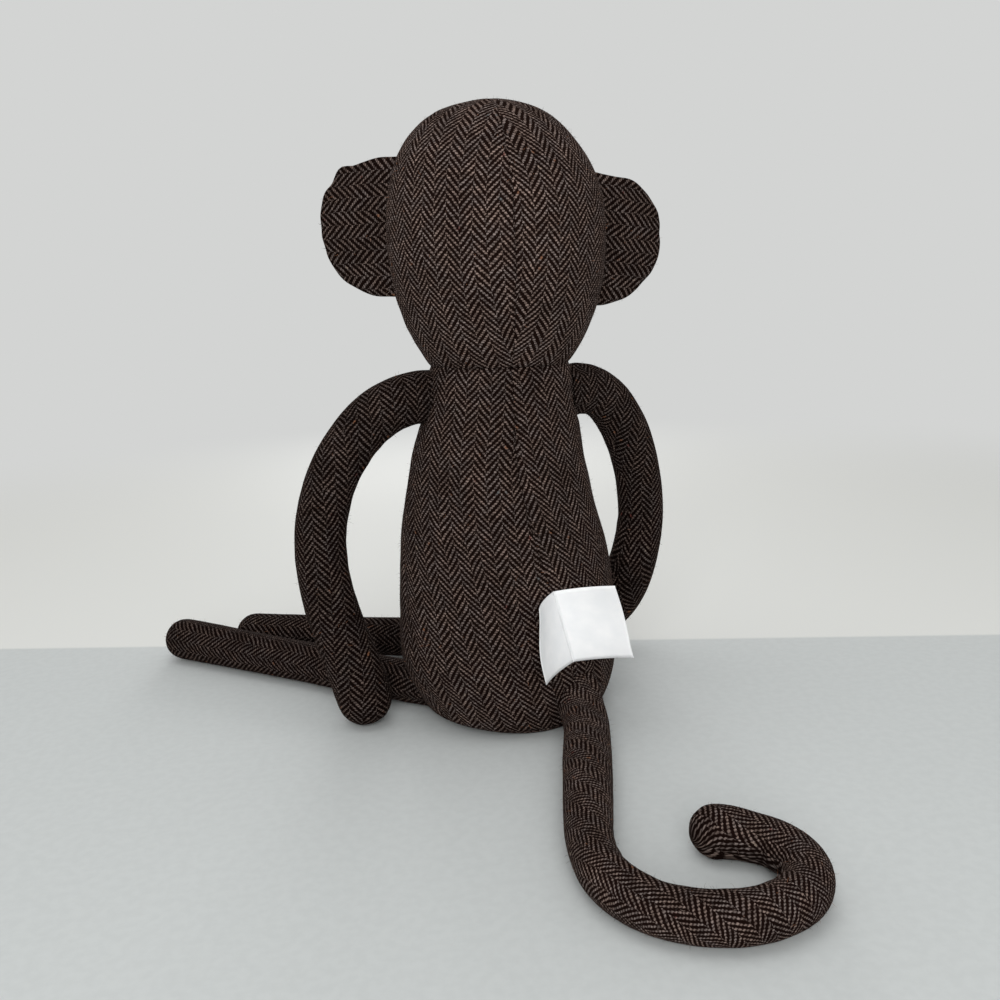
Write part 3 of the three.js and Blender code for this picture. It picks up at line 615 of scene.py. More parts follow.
def grid_quads(rows, columns, flip=False):
    """Corner indices of a grid of points, row by row."""
    faces = []
    for i in range(rows - 1):
        for j in range(columns - 1):
            a = i * columns + j
            quad = (a, a + 1, a + columns + 1, a + columns)
            faces.append(quad[::-1] if flip else quad)
    return faces


def grid_object(name, points, cloth, material, flip=False):
    """Object from a grid of points, with the cloth place of each point."""
    rows, columns = points.shape[:2]
    faces = grid_quads(rows, columns, flip)
    flat = cloth.reshape(-1, 2)
    weave = flat[np.array(faces).reshape(-1)]
    return make_object(name, points, faces, weave, material)


def lumps(points):
    """Unevenness of the stuffing under the cloth."""
    dimples = DIMPLE_DEPTH * noise_at(points, DIMPLE_SIZE, DIMPLE_SHIFT)
    return LUMP_DEPTH * noise_at(points, LUMP_SIZE) + dimples


def seam_groove(distance):
    return -SEAM_DEPTH * np.exp(-(distance / SEAM_WIDTH) ** 2)


def seam_puckers(distance, along, shift):
    return PUCKER_DEPTH * np.exp(-distance / PUCKER_REACH) * noise_along(along, PUCKER_LENGTH, shift)


def base_tuck(points):
    """The lower edge is drawn in on the toy's left, where little weight rests on it."""
    turn = np.arctan2(points[..., 1], points[..., 0]) - math.radians(BASE_TUCK_TOWARDS)
    facing = np.clip(np.cos(turn), 0, 1) ** 2
    return -BASE_TUCK * facing * (1 - smoothstep(points[..., 2], *BASE_TUCK_FADE))


def root_folds(points, limbs):
    """A groove round each limb that is sewn on, with creases running away from it."""
    offset = np.zeros(points.shape[:-1])
    for limb in limbs:
        away = points - limb["root"]
        other = np.cross(limb["ahead"], limb["side"])
        across = away @ limb["side"] / limb["root_across"]
        along = away @ other / limb["root_along"]
        clear = (np.hypot(across, along) - 1) * limb["radius"]
        near = smoothstep(away @ limb["ahead"], -ROOT_BEHIND, -ROOT_BEHIND / 2)
        turn = np.arctan2(along, across)
        circle = np.stack([np.cos(turn), np.sin(turn), np.zeros_like(turn)], axis=-1)
        crease = noise_at(circle * ROOT_CREASES, 2 * math.pi, limb["radius"])
        offset -= near * ROOT_GROOVE * np.exp(-(clear / ROOT_WIDTH) ** 2)
        offset += near * ROOT_CREASE * np.exp(-np.maximum(clear, 0) / ROOT_REACH) * crease
    return offset


def panel(name, form, first, last, low, high, material, shift, limbs=()):
    """One sewn panel of a stacked surface, its edges drawn into the seams."""
    heights, lengths = form.levels(low, high)
    radius = float(np.max(form.radius(heights)))
    first, last = math.radians(first), math.radians(last)
    width = radius * (form.arc(last) - form.arc(first))
    fold = SEAM_FOLD / radius
    inner = np.linspace(first + fold, last - fold, round(width / CELL) + 1)
    angles = np.concatenate([[first], inner, [last]])
    angle, z = np.meshgrid(angles, heights)
    along = np.meshgrid(angles, lengths)[1]
    radii = form.radius(z)
    to_first = radii * (form.arc(angle) - form.arc(first))
    to_last = radii * (form.arc(last) - form.arc(angle))
    bare = form.point(angle, z)
    offset = lumps(bare) + root_folds(bare, limbs) + base_tuck(bare)
    offset += (seam_groove(to_first) + seam_groove(to_last)) * smoothstep(radii, 0, CROWN_FADE)
    offset += seam_puckers(to_first, along, first) + seam_puckers(to_last, along, last % (2 * math.pi))
    offset += seam_groove(along) + seam_groove(lengths[-1] - along) * (radii[-1, 0] > CELL)
    offset[:, [0, -1]] -= SEAM_TUCK
    offset[0] -= SEAM_TUCK
    points = form.point(angle, z, offset)
    middle = (form.arc(first) + form.arc(last)) / 2
    cloth = np.stack([radii * (form.arc(angle) - middle) + shift, along], axis=-1)
    return grid_object(name, points, cloth, material)


def base_panel(name, material):
    """The flat underside, turned up at its edge."""
    rings = round(BASE_WIDTH / 2 / CELL)
    spokes = round(math.pi * BASE_WIDTH / CELL)
    angle = np.linspace(0, 2 * math.pi, spokes + 1)
    edge = TORSO.point(angle, np.zeros_like(angle))
    seam = TORSO.point(angle, np.full_like(angle, BASE_SEAM))
    flat_edge = TORSO.point(angle, np.zeros_like(angle), base_tuck(edge))
    rim = TORSO.point(angle, np.full_like(angle, BASE_SEAM), base_tuck(seam) - SEAM_DEPTH)
    rows = [flat_edge * share for share in np.linspace(0, 1, rings + 1)]
    inside = rim * np.array([BASE_FOLD_IN, BASE_FOLD_IN, 1.0])
    points = np.array([*rows, rim, inside])
    return grid_object(name, points, points[..., :2], material, flip=True)


# Limbs


def heading_vector(heading, drop):
    level = math.cos(math.radians(drop))
    return np.array([
        level * math.cos(math.radians(heading)),
        level * math.sin(math.radians(heading)),
        -math.sin(math.radians(drop)),
    ])


def walk(start, heading, drop, bends):
    """Points, directions and angles every small step along the bends, turning evenly through each."""
    point = np.array(start, float)
    distance = 0.0
    track = [(distance, point.copy(), heading_vector(heading, drop), heading, drop)]
    for length, next_heading, next_drop in bends:
        steps = math.ceil(length / WALK_STEP)
        for i in range(steps):
            share = (i + 0.5) / steps
            angles = (mix(heading, next_heading, share), mix(drop, next_drop, share))
            ahead = heading_vector(*angles)
            point = point + ahead * length / steps
            distance += length / steps
            track.append((distance, point.copy(), ahead, *angles))
        heading, drop = next_heading, next_drop
    return track


def fill_length(bends, total):
    """Gives the last stretch what the others leave of the length."""
    used = sum(bend[0] for bend in bends if bend[0])
    return [(bend[0] or total - used, *bend[1:]) for bend in bends]


def limb_sections(limb):
    """Places along a limb with the share of its full section left at each."""
    total = limb["track"][-1][0]
    shaft = total - limb["end_radius"]
    count = round(shaft / CELL)
    places = [(at, 1.0) for at in np.linspace(0, shaft, count + 1)]
    for turn in np.linspace(0, math.pi / 2, TIP_STEPS + 1)[1:]:
        places.append((shaft + limb["end_radius"] * math.sin(turn), max(math.cos(turn), TIP_LEAST)))
    return places


def flat_cut(limb):
    """A limb's path laid flat, as its cloth was cut: points and sideways axes along the track."""
    distances, _, _, headings, drops = zip(*limb["track"])
    angles = -np.radians(drops) if limb["cut"] == "side" else np.radians(headings)
    lengths = np.diff(distances, prepend=0.0)
    ahead = np.stack([np.cos(angles), np.sin(angles)], axis=-1)
    aside = np.stack([-np.sin(angles), np.cos(angles)], axis=-1)
    points = np.cumsum(ahead * lengths[:, None], axis=0)
    return points, aside if limb["cut"] == "side" else -aside


def limb_frames(limb):
    """Distance, point, two section axes, bend, section share and flat place at steps along a limb."""
    track = limb["track"]
    total = track[-1][0]
    side = limb["side"]
    flat_points, flat_sides = flat_cut(limb)
    frames = []
    for at, close in limb_sections(limb):
        index = min(len(track) - 1, round(at / total * (len(track) - 1)))
        _, point, ahead = track[index][:3]
        before = track[max(0, index - BEND_STEPS)]
        after = track[min(len(track) - 1, index + BEND_STEPS)]
        bend = (after[2] - before[2]) / max(WALK_STEP, after[0] - before[0])
        side = unit(side - ahead * np.dot(side, ahead))
        flat = flat_points[index] + (at - track[index][0]) * unit(flat_points[-1] - flat_points[-2])
        cloth = (flat, flat_sides[index] * close)
        frames.append((at, point, side, np.cross(ahead, side), bend, close, cloth))
    return frames


def limb_half_sizes(limb, at):
    total = limb["track"][-1][0]
    ease = float(smoothstep(at, 0, limb["root_blend"]))
    swell = float(smoothstep(at, *limb.get("swell", (total / 2, total - limb["end_radius"]))))
    radius = mix(limb["radius"], limb["end_radius"], swell)
    return mix(limb["root_across"], radius, ease), mix(limb["root_along"], radius, ease)


def wrap(angle):
    return (angle + math.pi) % (2 * math.pi) - math.pi


def seam_turn(limb, turns):
    """Turn from the nearest seam along a limb."""
    from_middle = np.abs(wrap(turns - limb["facing"]))
    return np.abs(from_middle - math.pi / 2) if limb["pieces"] == 2 else math.pi - from_middle


def cloth_place(limb, flat, turn, middle):
    """Cloth place of a point of a limb, on the piece that the middle of its face lies on."""
    point, aside = flat
    lean = wrap(middle - limb["facing"])
    second = limb["pieces"] == 2 and abs(lean) > math.pi / 2
    if second:
        lean = wrap(limb["facing"] + math.pi - middle)
    reach = lean - (turn - middle) if second else lean + (turn - middle)
    place = point + aside * limb["radius"] * reach
    grain = math.radians(limb["grain"])
    shift = (limb["shift"] + (SECOND_PIECE_SHIFT if second else 0)) * COLUMN_WIDTH
    across = place[0] * math.sin(grain) - place[1] * math.cos(grain)
    along = place[0] * math.cos(grain) + place[1] * math.sin(grain)
    return across + shift, along


def limb_ring(limb, section, turns):
    """Points round one place of a limb: seams, gathers at the root and wrinkles inside the bends."""
    at, point, side, other, bend, close, _ = section
    across, along = limb_half_sizes(limb, at)
    radial = np.outer(np.cos(turns), side) + np.outer(np.sin(turns), other)
    curve = np.linalg.norm(bend)
    inner = np.clip(radial @ (bend / max(curve, SMALL)), 0, 1) ** 2
    ring = point + np.outer(across * close * np.cos(turns), side)
    ring += np.outer(along * close * np.sin(turns), other)
    from_seam = seam_turn(limb, turns) * limb["radius"]
    seam = seam_groove(from_seam) + seam_puckers(from_seam, np.full(len(turns), at), limb["shift"])
    fold = noise_along(at + WRINKLE_SLANT * np.cos(turns), WRINKLE_LENGTH, limb["shift"] * WRINKLE_SHIFT)
    wander = GATHER_WANDER * noise_along(turns, GATHER_WANDER_TURN, limb["shift"])
    gather = np.cos(GATHER_COUNT * turns + limb["shift"] + wander)
    past_root = max(0.0, at - limb["lead"])
    offset = lumps(ring) * LIMB_SOFTNESS + seam * LIMB_SEAM
    offset += WRINKLE_DEPTH * min(1.0, curve / WRINKLE_BEND) * inner * fold
    offset += GATHER_DEPTH * math.exp(-past_root / GATHER_REACH) * gather
    to_tip = limb["track"][-1][0] - at
    swell = limb.get("tip_swell", 0.0) * smoothstep(to_tip, TAIL_TIP_SWELL_REACH, limb["end_radius"])
    offset += swell * (1 + np.sin(turns)) / 2
    return ring + radial * (offset * close)[:, None]


def limb_object(name, limb, material):
    """Stuffed tube, closed at its far end."""
    sections = limb_frames(limb)
    turns = np.linspace(0, 2 * math.pi, LIMB_SIDES, endpoint=False)
    rings = [limb_ring(limb, section, turns) for section in sections]
    points = np.concatenate([*rings, [sections[-1][1]]])
    faces = []
    weave = []
    step = 2 * math.pi / LIMB_SIDES
    last = len(rings) - 1
    for i in range(last + 1):
        for j in range(LIMB_SIDES):
            k = (j + 1) % LIMB_SIDES
            low, high = i * LIMB_SIDES, (i + 1) * LIMB_SIDES
            if i == last:
                corners = [(i, j), (i, j + 1), (i, j)]
                faces.append((low + j, low + k, high))
            else:
                corners = [(i, j), (i, j + 1), (i + 1, j + 1), (i + 1, j)]
                faces.append((low + j, low + k, high + k, high + j))
            middle = (j + 0.5) * step
            weave.extend(cloth_place(limb, sections[a][-1], b * step, middle) for a, b in corners)
    return make_object(name, points, faces, weave, material)


def limb_start(root, heading, drop, lead, stretches):
    """Root of a limb, and its track from a little way inside the body."""
    ahead = heading_vector(heading, drop)
    return {
        "track": walk(root - ahead * lead, heading, drop, [(lead, heading, drop), *stretches]),
        "side": unit(np.cross(UP, ahead)),
        "root": root,
        "ahead": ahead,
        "lead": lead,
    }


def arm_limb(side, swing, bends):
    def heading(turn):
        return LEFT + turn if side > 0 else RIGHT - turn
    height = TORSO_HEIGHT - SHOULDER_DROP
    root = TORSO.point(math.radians(LEFT if side > 0 else RIGHT), np.array(height))
    filled = fill_length(bends, ARM_LENGTH)
    stretches = [(length, heading(swing + turn), drop) for length, turn, drop in filled]
    return {
        **limb_start(root, heading(swing), ARM_ROOT_DROP, SHOULDER_THICKNESS / 2, stretches),
        "radius": ARM_DIAMETER / 2,
        "end_radius": HAND_DIAMETER / 2,
        "root_across": SHOULDER_THICKNESS / 2,
        "root_along": SHOULDER_HEIGHT / 2,
        "root_blend": 2 * ARM_DIAMETER,
        "cut": "side",
        "grain": ARM_GRAIN,
        "facing": 0.0,
        "pieces": 2,
    }


def leg_limb(side, heading, bends):
    height = FOOT_DIAMETER / 2 + FLOOR_GAP
    root = TORSO.point(math.radians(FRONT + side * LEG_SPREAD), np.array(height))
    stretches = [(length, turn, 0.0) for length, turn in fill_length(bends, LEG_LENGTH)]
    return {
        **limb_start(root, heading, 0.0, LEG_DIAMETER / 2, stretches),
        "radius": LEG_DIAMETER / 2,
        "end_radius": FOOT_DIAMETER / 2,
        "root_across": LEG_ROOT_WIDTH / 2,
        "root_along": LEG_DIAMETER / 2,
        "root_blend": 2 * LEG_DIAMETER,
        "cut": "plan",
        "grain": bends[-1][1],
        "facing": math.pi / 2,
        "pieces": 1,
    }


def tail_limb():
    stretches = fill_length(TAIL_BENDS, TAIL_LENGTH)
    fall = walk(np.zeros(3), TAIL_HEADING, TAIL_DROP, stretches)[-1][1][2]
    height = TAIL_TIP_DIAMETER / 2 + FLOOR_GAP - fall
    root = TORSO.point(math.radians(BACK), np.array(height))
    return {
        **limb_start(root, TAIL_HEADING, TAIL_DROP, TAIL_DIAMETER / 2, stretches),
        "radius": TAIL_DIAMETER / 2,
        "end_radius": TAIL_TIP_DIAMETER / 2,
        "swell": (TAIL_TAPER_FROM, TAIL_TAPER_TO),
        "tip_swell": TAIL_TIP_SWELL,
        "root_across": TAIL_ROOT_WIDTH / 2,
        "root_along": TAIL_DIAMETER / 2,
        "root_blend": TAIL_DIAMETER,
        "cut": "plan",
        "grain": TAIL_GRAIN,
        "facing": math.pi / 2,
        "pieces": 1,
    }


# Ears


def ear_place(side):
    """Hinge point of an ear, and its directions outward and to the front."""
    height = TORSO_HEIGHT + EAR_MIDDLE_AT + side * EAR_STAGGER
    hinge = np.array([side * (float(head_radius(height)) - EAR_SINK), -EAR_SETBACK, height])
    heading = LEFT - EAR_LEFT_SWEEP if side > 0 else RIGHT + EAR_RIGHT_SWEEP
    outward = heading_vector(heading, 0.0)
    towards_front = np.cross(outward, UP) * side
    return hinge, outward, towards_front


def ear_cloth(name, side, front, material, shift):
    """One cloth of an ear: half of a padded half round, its outline drawn in by the seam."""
    hinge, outward, towards_front = ear_place(side)
    face = towards_front if front else -towards_front
    spoke = np.radians(np.linspace(-EAR_WRAP, EAR_WRAP, EAR_SPOKES + 1))
    middle = np.linspace(0, EAR_FLAT_SHARE, EAR_RINGS + 1 - EAR_RIM_RINGS)
    edge = np.linspace(EAR_RIM_SHARE, 1, EAR_RIM_RINGS)
    angle, share = np.meshgrid(spoke, np.concatenate([middle, edge]))
    x, z = np.cos(angle), np.sin(angle)
    square = (np.abs(x) ** EAR_POWER + np.abs(z) ** EAR_POWER) ** (1 / EAR_POWER)
    wander = noise_along(angle * EAR_SCALLOP_ARC, EAR_SCALLOP_LENGTH, side * EAR_SCALLOP_SHIFT)
    scallop = 1 + EAR_SCALLOP * wander
    for dent, deep, spread in EAR_DENTS[side]:
        scallop -= deep * np.exp(-((np.degrees(angle) - dent) / spread) ** 2)
    reach = share * EAR_REACH * x / square * scallop
    rise = share * EAR_HEIGHT / 2 * z / square * scallop
    depth = EAR_THICKNESS / 2 * (1 - share ** EAR_CROWN) ** EAR_EDGE
    rim = (1 - share) * EAR_REACH
    puckers = seam_puckers(rim, angle * EAR_REACH, side * EAR_PUCKER_SHIFT)
    depth += puckers * (1 - share ** EAR_PUCKER_FADE)
    flat = np.stack([reach, rise, np.zeros_like(reach)], axis=-1)
    depth += lumps(flat + side * EAR_LUMP_SHIFT) * EAR_SOFTNESS * (1 - share ** EAR_LUMP_FADE)
    points = hinge + reach[..., None] * outward + rise[..., None] * UP + depth[..., None] * face
    grain = math.radians(EAR_GRAIN[side])
    across = rise * math.cos(grain) + reach * math.sin(grain)
    along = reach * math.cos(grain) - rise * math.sin(grain)
    cloth = np.stack([across + shift, along], axis=-1)
    outside = np.dot(np.cross(outward, UP), face) > 0
    return grid_object(name, points, cloth, material, flip=outside)


# Materials


class Graph:
    """Small helper to wire the nodes of a material or of the world."""

    def __init__(self, owner):
        owner.use_nodes = True
        self.owner = owner
        self.nodes = owner.node_tree.nodes
        self.links = owner.node_tree.links
        self.shader = self.nodes.get("Principled BSDF")

    def add(self, kind, **settings):
        node = self.nodes.new(kind)
        for key, value in settings.items():
            setattr(node, key, value)
        return node

    def feed(self, socket, value):
        if isinstance(value, bpy.types.NodeSocket):
            self.links.new(value, socket)
        else:
            socket.default_value = value

    def feed_all(self, node, values):
        for socket, value in zip(node.inputs, values):
            self.feed(socket, value)
        return node

    def math(self, operation, *values):
        return self.feed_all(self.add("ShaderNodeMath", operation=operation), values).outputs[0]

    def vector(self, operation, *values, output="Vector"):
        return self.feed_all(self.add("ShaderNodeVectorMath", operation=operation), values).outputs[output]

    def scale(self, vector, amount):
        node = self.add("ShaderNodeVectorMath", operation="SCALE")
        self.feed(node.inputs[0], vector)
        self.feed(node.inputs["Scale"], amount)
        return node.outputs[0]

    def ease(self, value, low, high, to_low=0.0, to_high=1.0):
        node = self.add("ShaderNodeMapRange", interpolation_type="SMOOTHSTEP")
        for key, amount in (("Value", value), ("From Min", low), ("From Max", high)):
            self.feed(node.inputs[key], amount)
        node.inputs["To Min"].default_value = to_low
        node.inputs["To Max"].default_value = to_high
        return node.outputs["Result"]

    def noise(self, vector, scale, detail=2.0, output="Fac"):
        node = self.add("ShaderNodeTexNoise")
        self.feed(node.inputs["Vector"], vector)
        node.inputs["Scale"].default_value = scale
        node.inputs["Detail"].default_value = detail
        return node.outputs[output]

    def blend(self, share, first, second, mode="MIX"):
        node = self.add("ShaderNodeMix", data_type="RGBA", blend_type=mode)
        self.feed(node.inputs["Factor"], share)
        self.feed(node.inputs[MIX_FIRST], first)
        self.feed(node.inputs[MIX_SECOND], second)
        return node.outputs[MIX_RESULT]

    def ramp(self, share, stops):
        node = self.add("ShaderNodeValToRGB")
        node.color_ramp.interpolation = "CONSTANT"
        elements = node.color_ramp.elements
        while len(elements) < len(stops):
            elements.new(1.0)
        for element, (place, tint) in zip(elements, stops):
            element.position = place
            element.color = colour(*tint)
        self.feed(node.inputs["Fac"], share)
        return node.outputs["Color"]

    def bump(self, height, strength, distance):
        node = self.add("ShaderNodeBump")
        self.feed(node.inputs["Height"], height)
        node.inputs["Strength"].default_value = strength
        node.inputs["Distance"].default_value = distance
        self.feed(self.shader.inputs["Normal"], node.outputs["Normal"])

    def split(self, vector):
        node = self.add("ShaderNodeSeparateXYZ")
        self.feed(node.inputs[0], vector)
        return node.outputs["X"], node.outputs["Y"]

    def ripple(self, distance, pitch):
        return self.math("SINE", self.math("MULTIPLY", distance, 2 * math.pi / pitch))

    def cloth_place(self):
        return self.add("ShaderNodeUVMap", uv_map="weave").outputs["UV"]

    def finish(self, tint, roughness, sheen=0.0, sheen_tint=None, gloss=0.5):
        self.feed(self.shader.inputs["Base Color"], tint)
        self.shader.inputs["Specular IOR Level"].default_value = gloss
        self.feed(self.shader.inputs["Roughness"], roughness)
        self.shader.inputs["Sheen Weight"].default_value = sheen
        if sheen_tint:
            self.shader.inputs["Sheen Tint"].default_value = sheen_tint
        return self.owner

    def show(self, share, first, second, output):
        """Blends two shaders into what is seen."""
        node = self.add("ShaderNodeMixShader")
        self.feed_all(node, (share, first.outputs[0], second.outputs[0]))
        self.links.new(node.outputs[0], self.nodes[output].inputs["Surface"])


def material_graph(name):
    return Graph(bpy.data.materials.new(name))


def with_painted_light(srgb, painted_light_level):
    """Linear colour of an sRGB one, scaled by a painted light level that stands in for the light a part gets.
    """
    red, green, blue, alpha = colour(*srgb)
    return (red * painted_light_level, green * painted_light_level, blue * painted_light_level, alpha)


def tweed_flecks(g, place, line):
    """Share of a coloured fleck at each place of the light lines, and a number to pick its colour."""
    cells = g.add("ShaderNodeTexVoronoi", feature="F1")
    g.feed(cells.inputs["Vector"], place)
    cells.inputs["Scale"].default_value = FLECK_SCALE
    chance = g.add("ShaderNodeSeparateColor")
    g.feed(chance.inputs[0], cells.outputs["Color"])
    chosen = g.math("GREATER_THAN", chance.outputs[0], FLECK_CHANCE)
    near = g.ease(cells.outputs["Distance"], *FLECK_EASE)
    share = g.math("MULTIPLY", g.math("MULTIPLY", chosen, near), line)
    return g.math("MULTIPLY", share, FLECK_STRENGTH), chance.outputs[1]


def tweed_place(g, cloth):
    """Cloth place pulled about a little, so that the woven lines wander."""
    drift = g.vector("SUBTRACT", g.noise(cloth, *DRIFT_NOISE, "Color"), NOISE_MIDDLE)
    shake = g.vector("SUBTRACT", g.noise(cloth, *SHAKE_NOISE, "Color"), NOISE_MIDDLE)
    place = g.vector("ADD", cloth, g.scale(drift, DRIFT_REACH))
    return g.vector("ADD", place, g.scale(shake, SHAKE_REACH))


def tweed_lines(g, place, spacing):
    """Light twill lines climbing left and right in turn, and how much of their yarn shows."""
    around, along = g.split(place)
    column = g.math("PINGPONG", around, COLUMN_WIDTH)
    stepped = g.math("SNAP", along, YARN_PITCH)
    climb = g.math("MULTIPLY", column, LINE_SLOPE)
    height = g.math("MULTIPLY", g.math("ADD", along, stepped), 0.5)
    strip = g.math("FLOOR", g.math("DIVIDE", around, COLUMN_WIDTH))
    odd = g.math("FLOORED_MODULO", strip, 2.0)
    level = g.math("DIVIDE", g.math("ADD", height, climb), spacing)
    phase = g.math("ADD", level, g.math("MULTIPLY", odd, 0.5))
    centred = g.math("SUBTRACT", g.math("FRACT", phase), 0.5)
    ridge = g.math("SUBTRACT", 1.0, g.math("MULTIPLY", g.math("ABSOLUTE", centred), 2.0))
    line = g.ease(ridge, *LINE_EASE)
    past_step = g.math("SUBTRACT", along, stepped)
    floats = g.math("COSINE", g.math("MULTIPLY", past_step, 2 * math.pi / YARN_PITCH))
    spot = g.feed_all(g.add("ShaderNodeCombineXYZ"), (stepped, g.math("FLOOR", phase), strip))
    chance = g.add("ShaderNodeTexWhiteNoise", noise_dimensions="3D")
    g.feed(chance.inputs["Vector"], spot.outputs[0])
    uneven = g.ease(chance.outputs["Value"], *UNEVEN_EASE)
    shown = g.math("MULTIPLY", g.math("MULTIPLY", line, g.ease(floats, *FLOAT_EASE)), uneven)
    return line, shown


def tweed_material(name, painted_light_level, spacing=LINE_SPACING):
    """Herringbone of pale floats on dark yarn, with slubs, mottling and flecks, its colours scaled by the
    part's painted light level.
    """
    g = material_graph(name)
    cloth = g.cloth_place()
    place = tweed_place(g, cloth)
    line, shown = tweed_lines(g, place, spacing)
    yarn = g.math("MULTIPLY", shown, g.ease(g.noise(cloth, *SLUB_NOISE), *SLUB_EASE))
    hue = g.ease(g.noise(cloth, *HUE_NOISE), *HUE_EASE)
    # Painted light and shade: both yarn colours are scaled by the part's painted light level
    light = g.blend(hue, with_painted_light(WARM_YARN, painted_light_level), with_painted_light(COOL_YARN, painted_light_level))
    body = g.blend(yarn, with_painted_light(DARK_YARN, painted_light_level), light)
    mottle = g.ease(g.noise(cloth, *MOTTLE_NOISE), *MOTTLE_EASE)
    shade = g.feed_all(g.add("ShaderNodeCombineColor"), (mottle, mottle, mottle))
    body = g.blend(1.0, body, shade.outputs[0], "MULTIPLY")
    fleck, pick = tweed_flecks(g, place, line)
    body = g.blend(fleck, body, g.ramp(pick, FLECK_TINTS))
    fuzz = g.math("MULTIPLY", g.noise(place, *FUZZ_NOISE), FUZZ_RELIEF)
    g.bump(g.math("ADD", g.math("MULTIPLY", yarn, YARN_RELIEF), fuzz), *TWEED_BUMP)
    sheen_tint = colour(*TWEED_SHEEN)
    return g.finish(body, TWEED_ROUGHNESS, TWEED_SHEEN_WEIGHT, sheen_tint, TWEED_GLOSS)


def satin_material():
    """White label ribbon: fine ribs and a soft surface, with nothing printed on it."""
    g = material_graph("label_satin")
    place = g.cloth_place()
    across, along = g.split(place)
    ribs = g.math("MULTIPLY", g.ripple(along, RIB_PITCH), RIB_RELIEF)
    weave = g.math("ADD", ribs, g.math("MULTIPLY", g.ripple(across, CROSS_PITCH), CROSS_RELIEF))
    stain = g.ease(g.noise(place, *RIBBON_STAIN_NOISE), *RIBBON_STAIN_EASE)
    tint = g.blend(stain, colour(*RIBBON_DULL), colour(*RIBBON_WHITE))
    tint = g.blend(g.ease(weave, *RIBBON_SHADE_EASE), tint, colour(*RIBBON_SHADE))
    g.bump(weave, *RIBBON_BUMP)
    return g.finish(tint, RIBBON_ROUGHNESS, RIBBON_SHEEN_WEIGHT)


def felt_material():
    """Tan felt: pressed fibres in every direction."""
    g = material_graph("face_felt")
    place = g.cloth_place()
    fibre = g.noise(place, *FELT_FIBRE_NOISE)
    cloud = g.ease(g.noise(place, *FELT_CLOUD_NOISE), *FELT_CLOUD_EASE)
    tint = g.blend(g.ease(fibre, *FELT_FIBRE_EASE), colour(*FELT_DARK), colour(*FELT_LIGHT))
    tint = g.blend(cloud, tint, colour(*FELT_WORN))
    g.bump(fibre, *FELT_BUMP)
    return g.finish(tint, FELT_ROUGHNESS, FELT_SHEEN_WEIGHT, colour(*FELT_SHEEN))


def thread_material():
    """Dark embroidery thread lying side by side, with painted shade between the strands and painted highlight
    on their crowns.
    """
    g = material_graph("stitch_thread")
    strands = g.ripple(g.split(g.cloth_place())[0], STRAND_PITCH)
    # Painted shade between the strands and painted highlight on their crowns, following the strand ripple
    tint = g.blend(g.ease(strands, -1.0, 1.0), colour(*THREAD_PAINTED_SHADE), colour(*THREAD_PAINTED_HIGHLIGHT))
    g.bump(strands, *STRAND_BUMP)
    return g.finish(tint, THREAD_ROUGHNESS, THREAD_SHEEN_WEIGHT)


def bead_material():
    """Polished black bead with faint handling marks."""
    g = material_graph("eye_bead")
    smudge = g.noise(g.cloth_place(), *SMUDGE_NOISE)
    tint = g.blend(smudge, colour(*BEAD_DARK), colour(*BEAD_LIGHT))
    g.shader.inputs["Coat Weight"].default_value = BEAD_COAT
    return g.finish(tint, g.ease(smudge, *SMUDGE_ROUGHNESS))


def fibre_material():
    """Loose fibres in the colours of the yarns."""
    g = material_graph("loose_fibre")
    pick = g.split(g.cloth_place())[0]
    return g.finish(g.ramp(pick, FIBRE_TINTS), FIBRE_ROUGHNESS)


# Tweed copies with painted light and shade: lighter on the head, darker on the torso, tail, ears and limbs
TWEED_HEAD_PAINTED_LIGHT = tweed_material("tweed_head_painted_light", HEAD_PAINTED_LIGHT)
TWEED_TORSO_PAINTED_SHADE = tweed_material("tweed_torso_painted_shade", TORSO_PAINTED_SHADE)
TWEED_TAIL_PAINTED_SHADE = tweed_material("tweed_tail_painted_shade", TAIL_PAINTED_SHADE, TAIL_LINE_SPACING)
TWEED_EARS_PAINTED_SHADE = tweed_material("tweed_ears_painted_shade", EARS_PAINTED_SHADE, EAR_LINE_SPACING)
TWEED_LIMBS_PAINTED_SHADE = tweed_material("tweed_limbs_painted_shade", LIMBS_PAINTED_SHADE)
SATIN = satin_material()
FELT_TAN = felt_material()
STITCH = thread_material()
BEAD = bead_material()
FIBRE = fibre_material()


# Dressing


def dress(obj, body, nodes):
    """Rides on one body and hides the part nodes it stands for."""
    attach(obj, body)
    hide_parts(*nodes)
    return obj


def bend_between(obj, first, second, start, end):
    """Bakes the object's transform into its mesh; the two bodies and the two points are not used."""
    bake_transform(obj)


def bend_dress(obj, first, second, start, end, slot, nodes):
    """Bakes its transform and hides the part nodes it stands for; the two bodies, the two points and the slot
    are not used.
    """
    bend_between(obj, first, second, start, end)
    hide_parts(*nodes)
    return obj


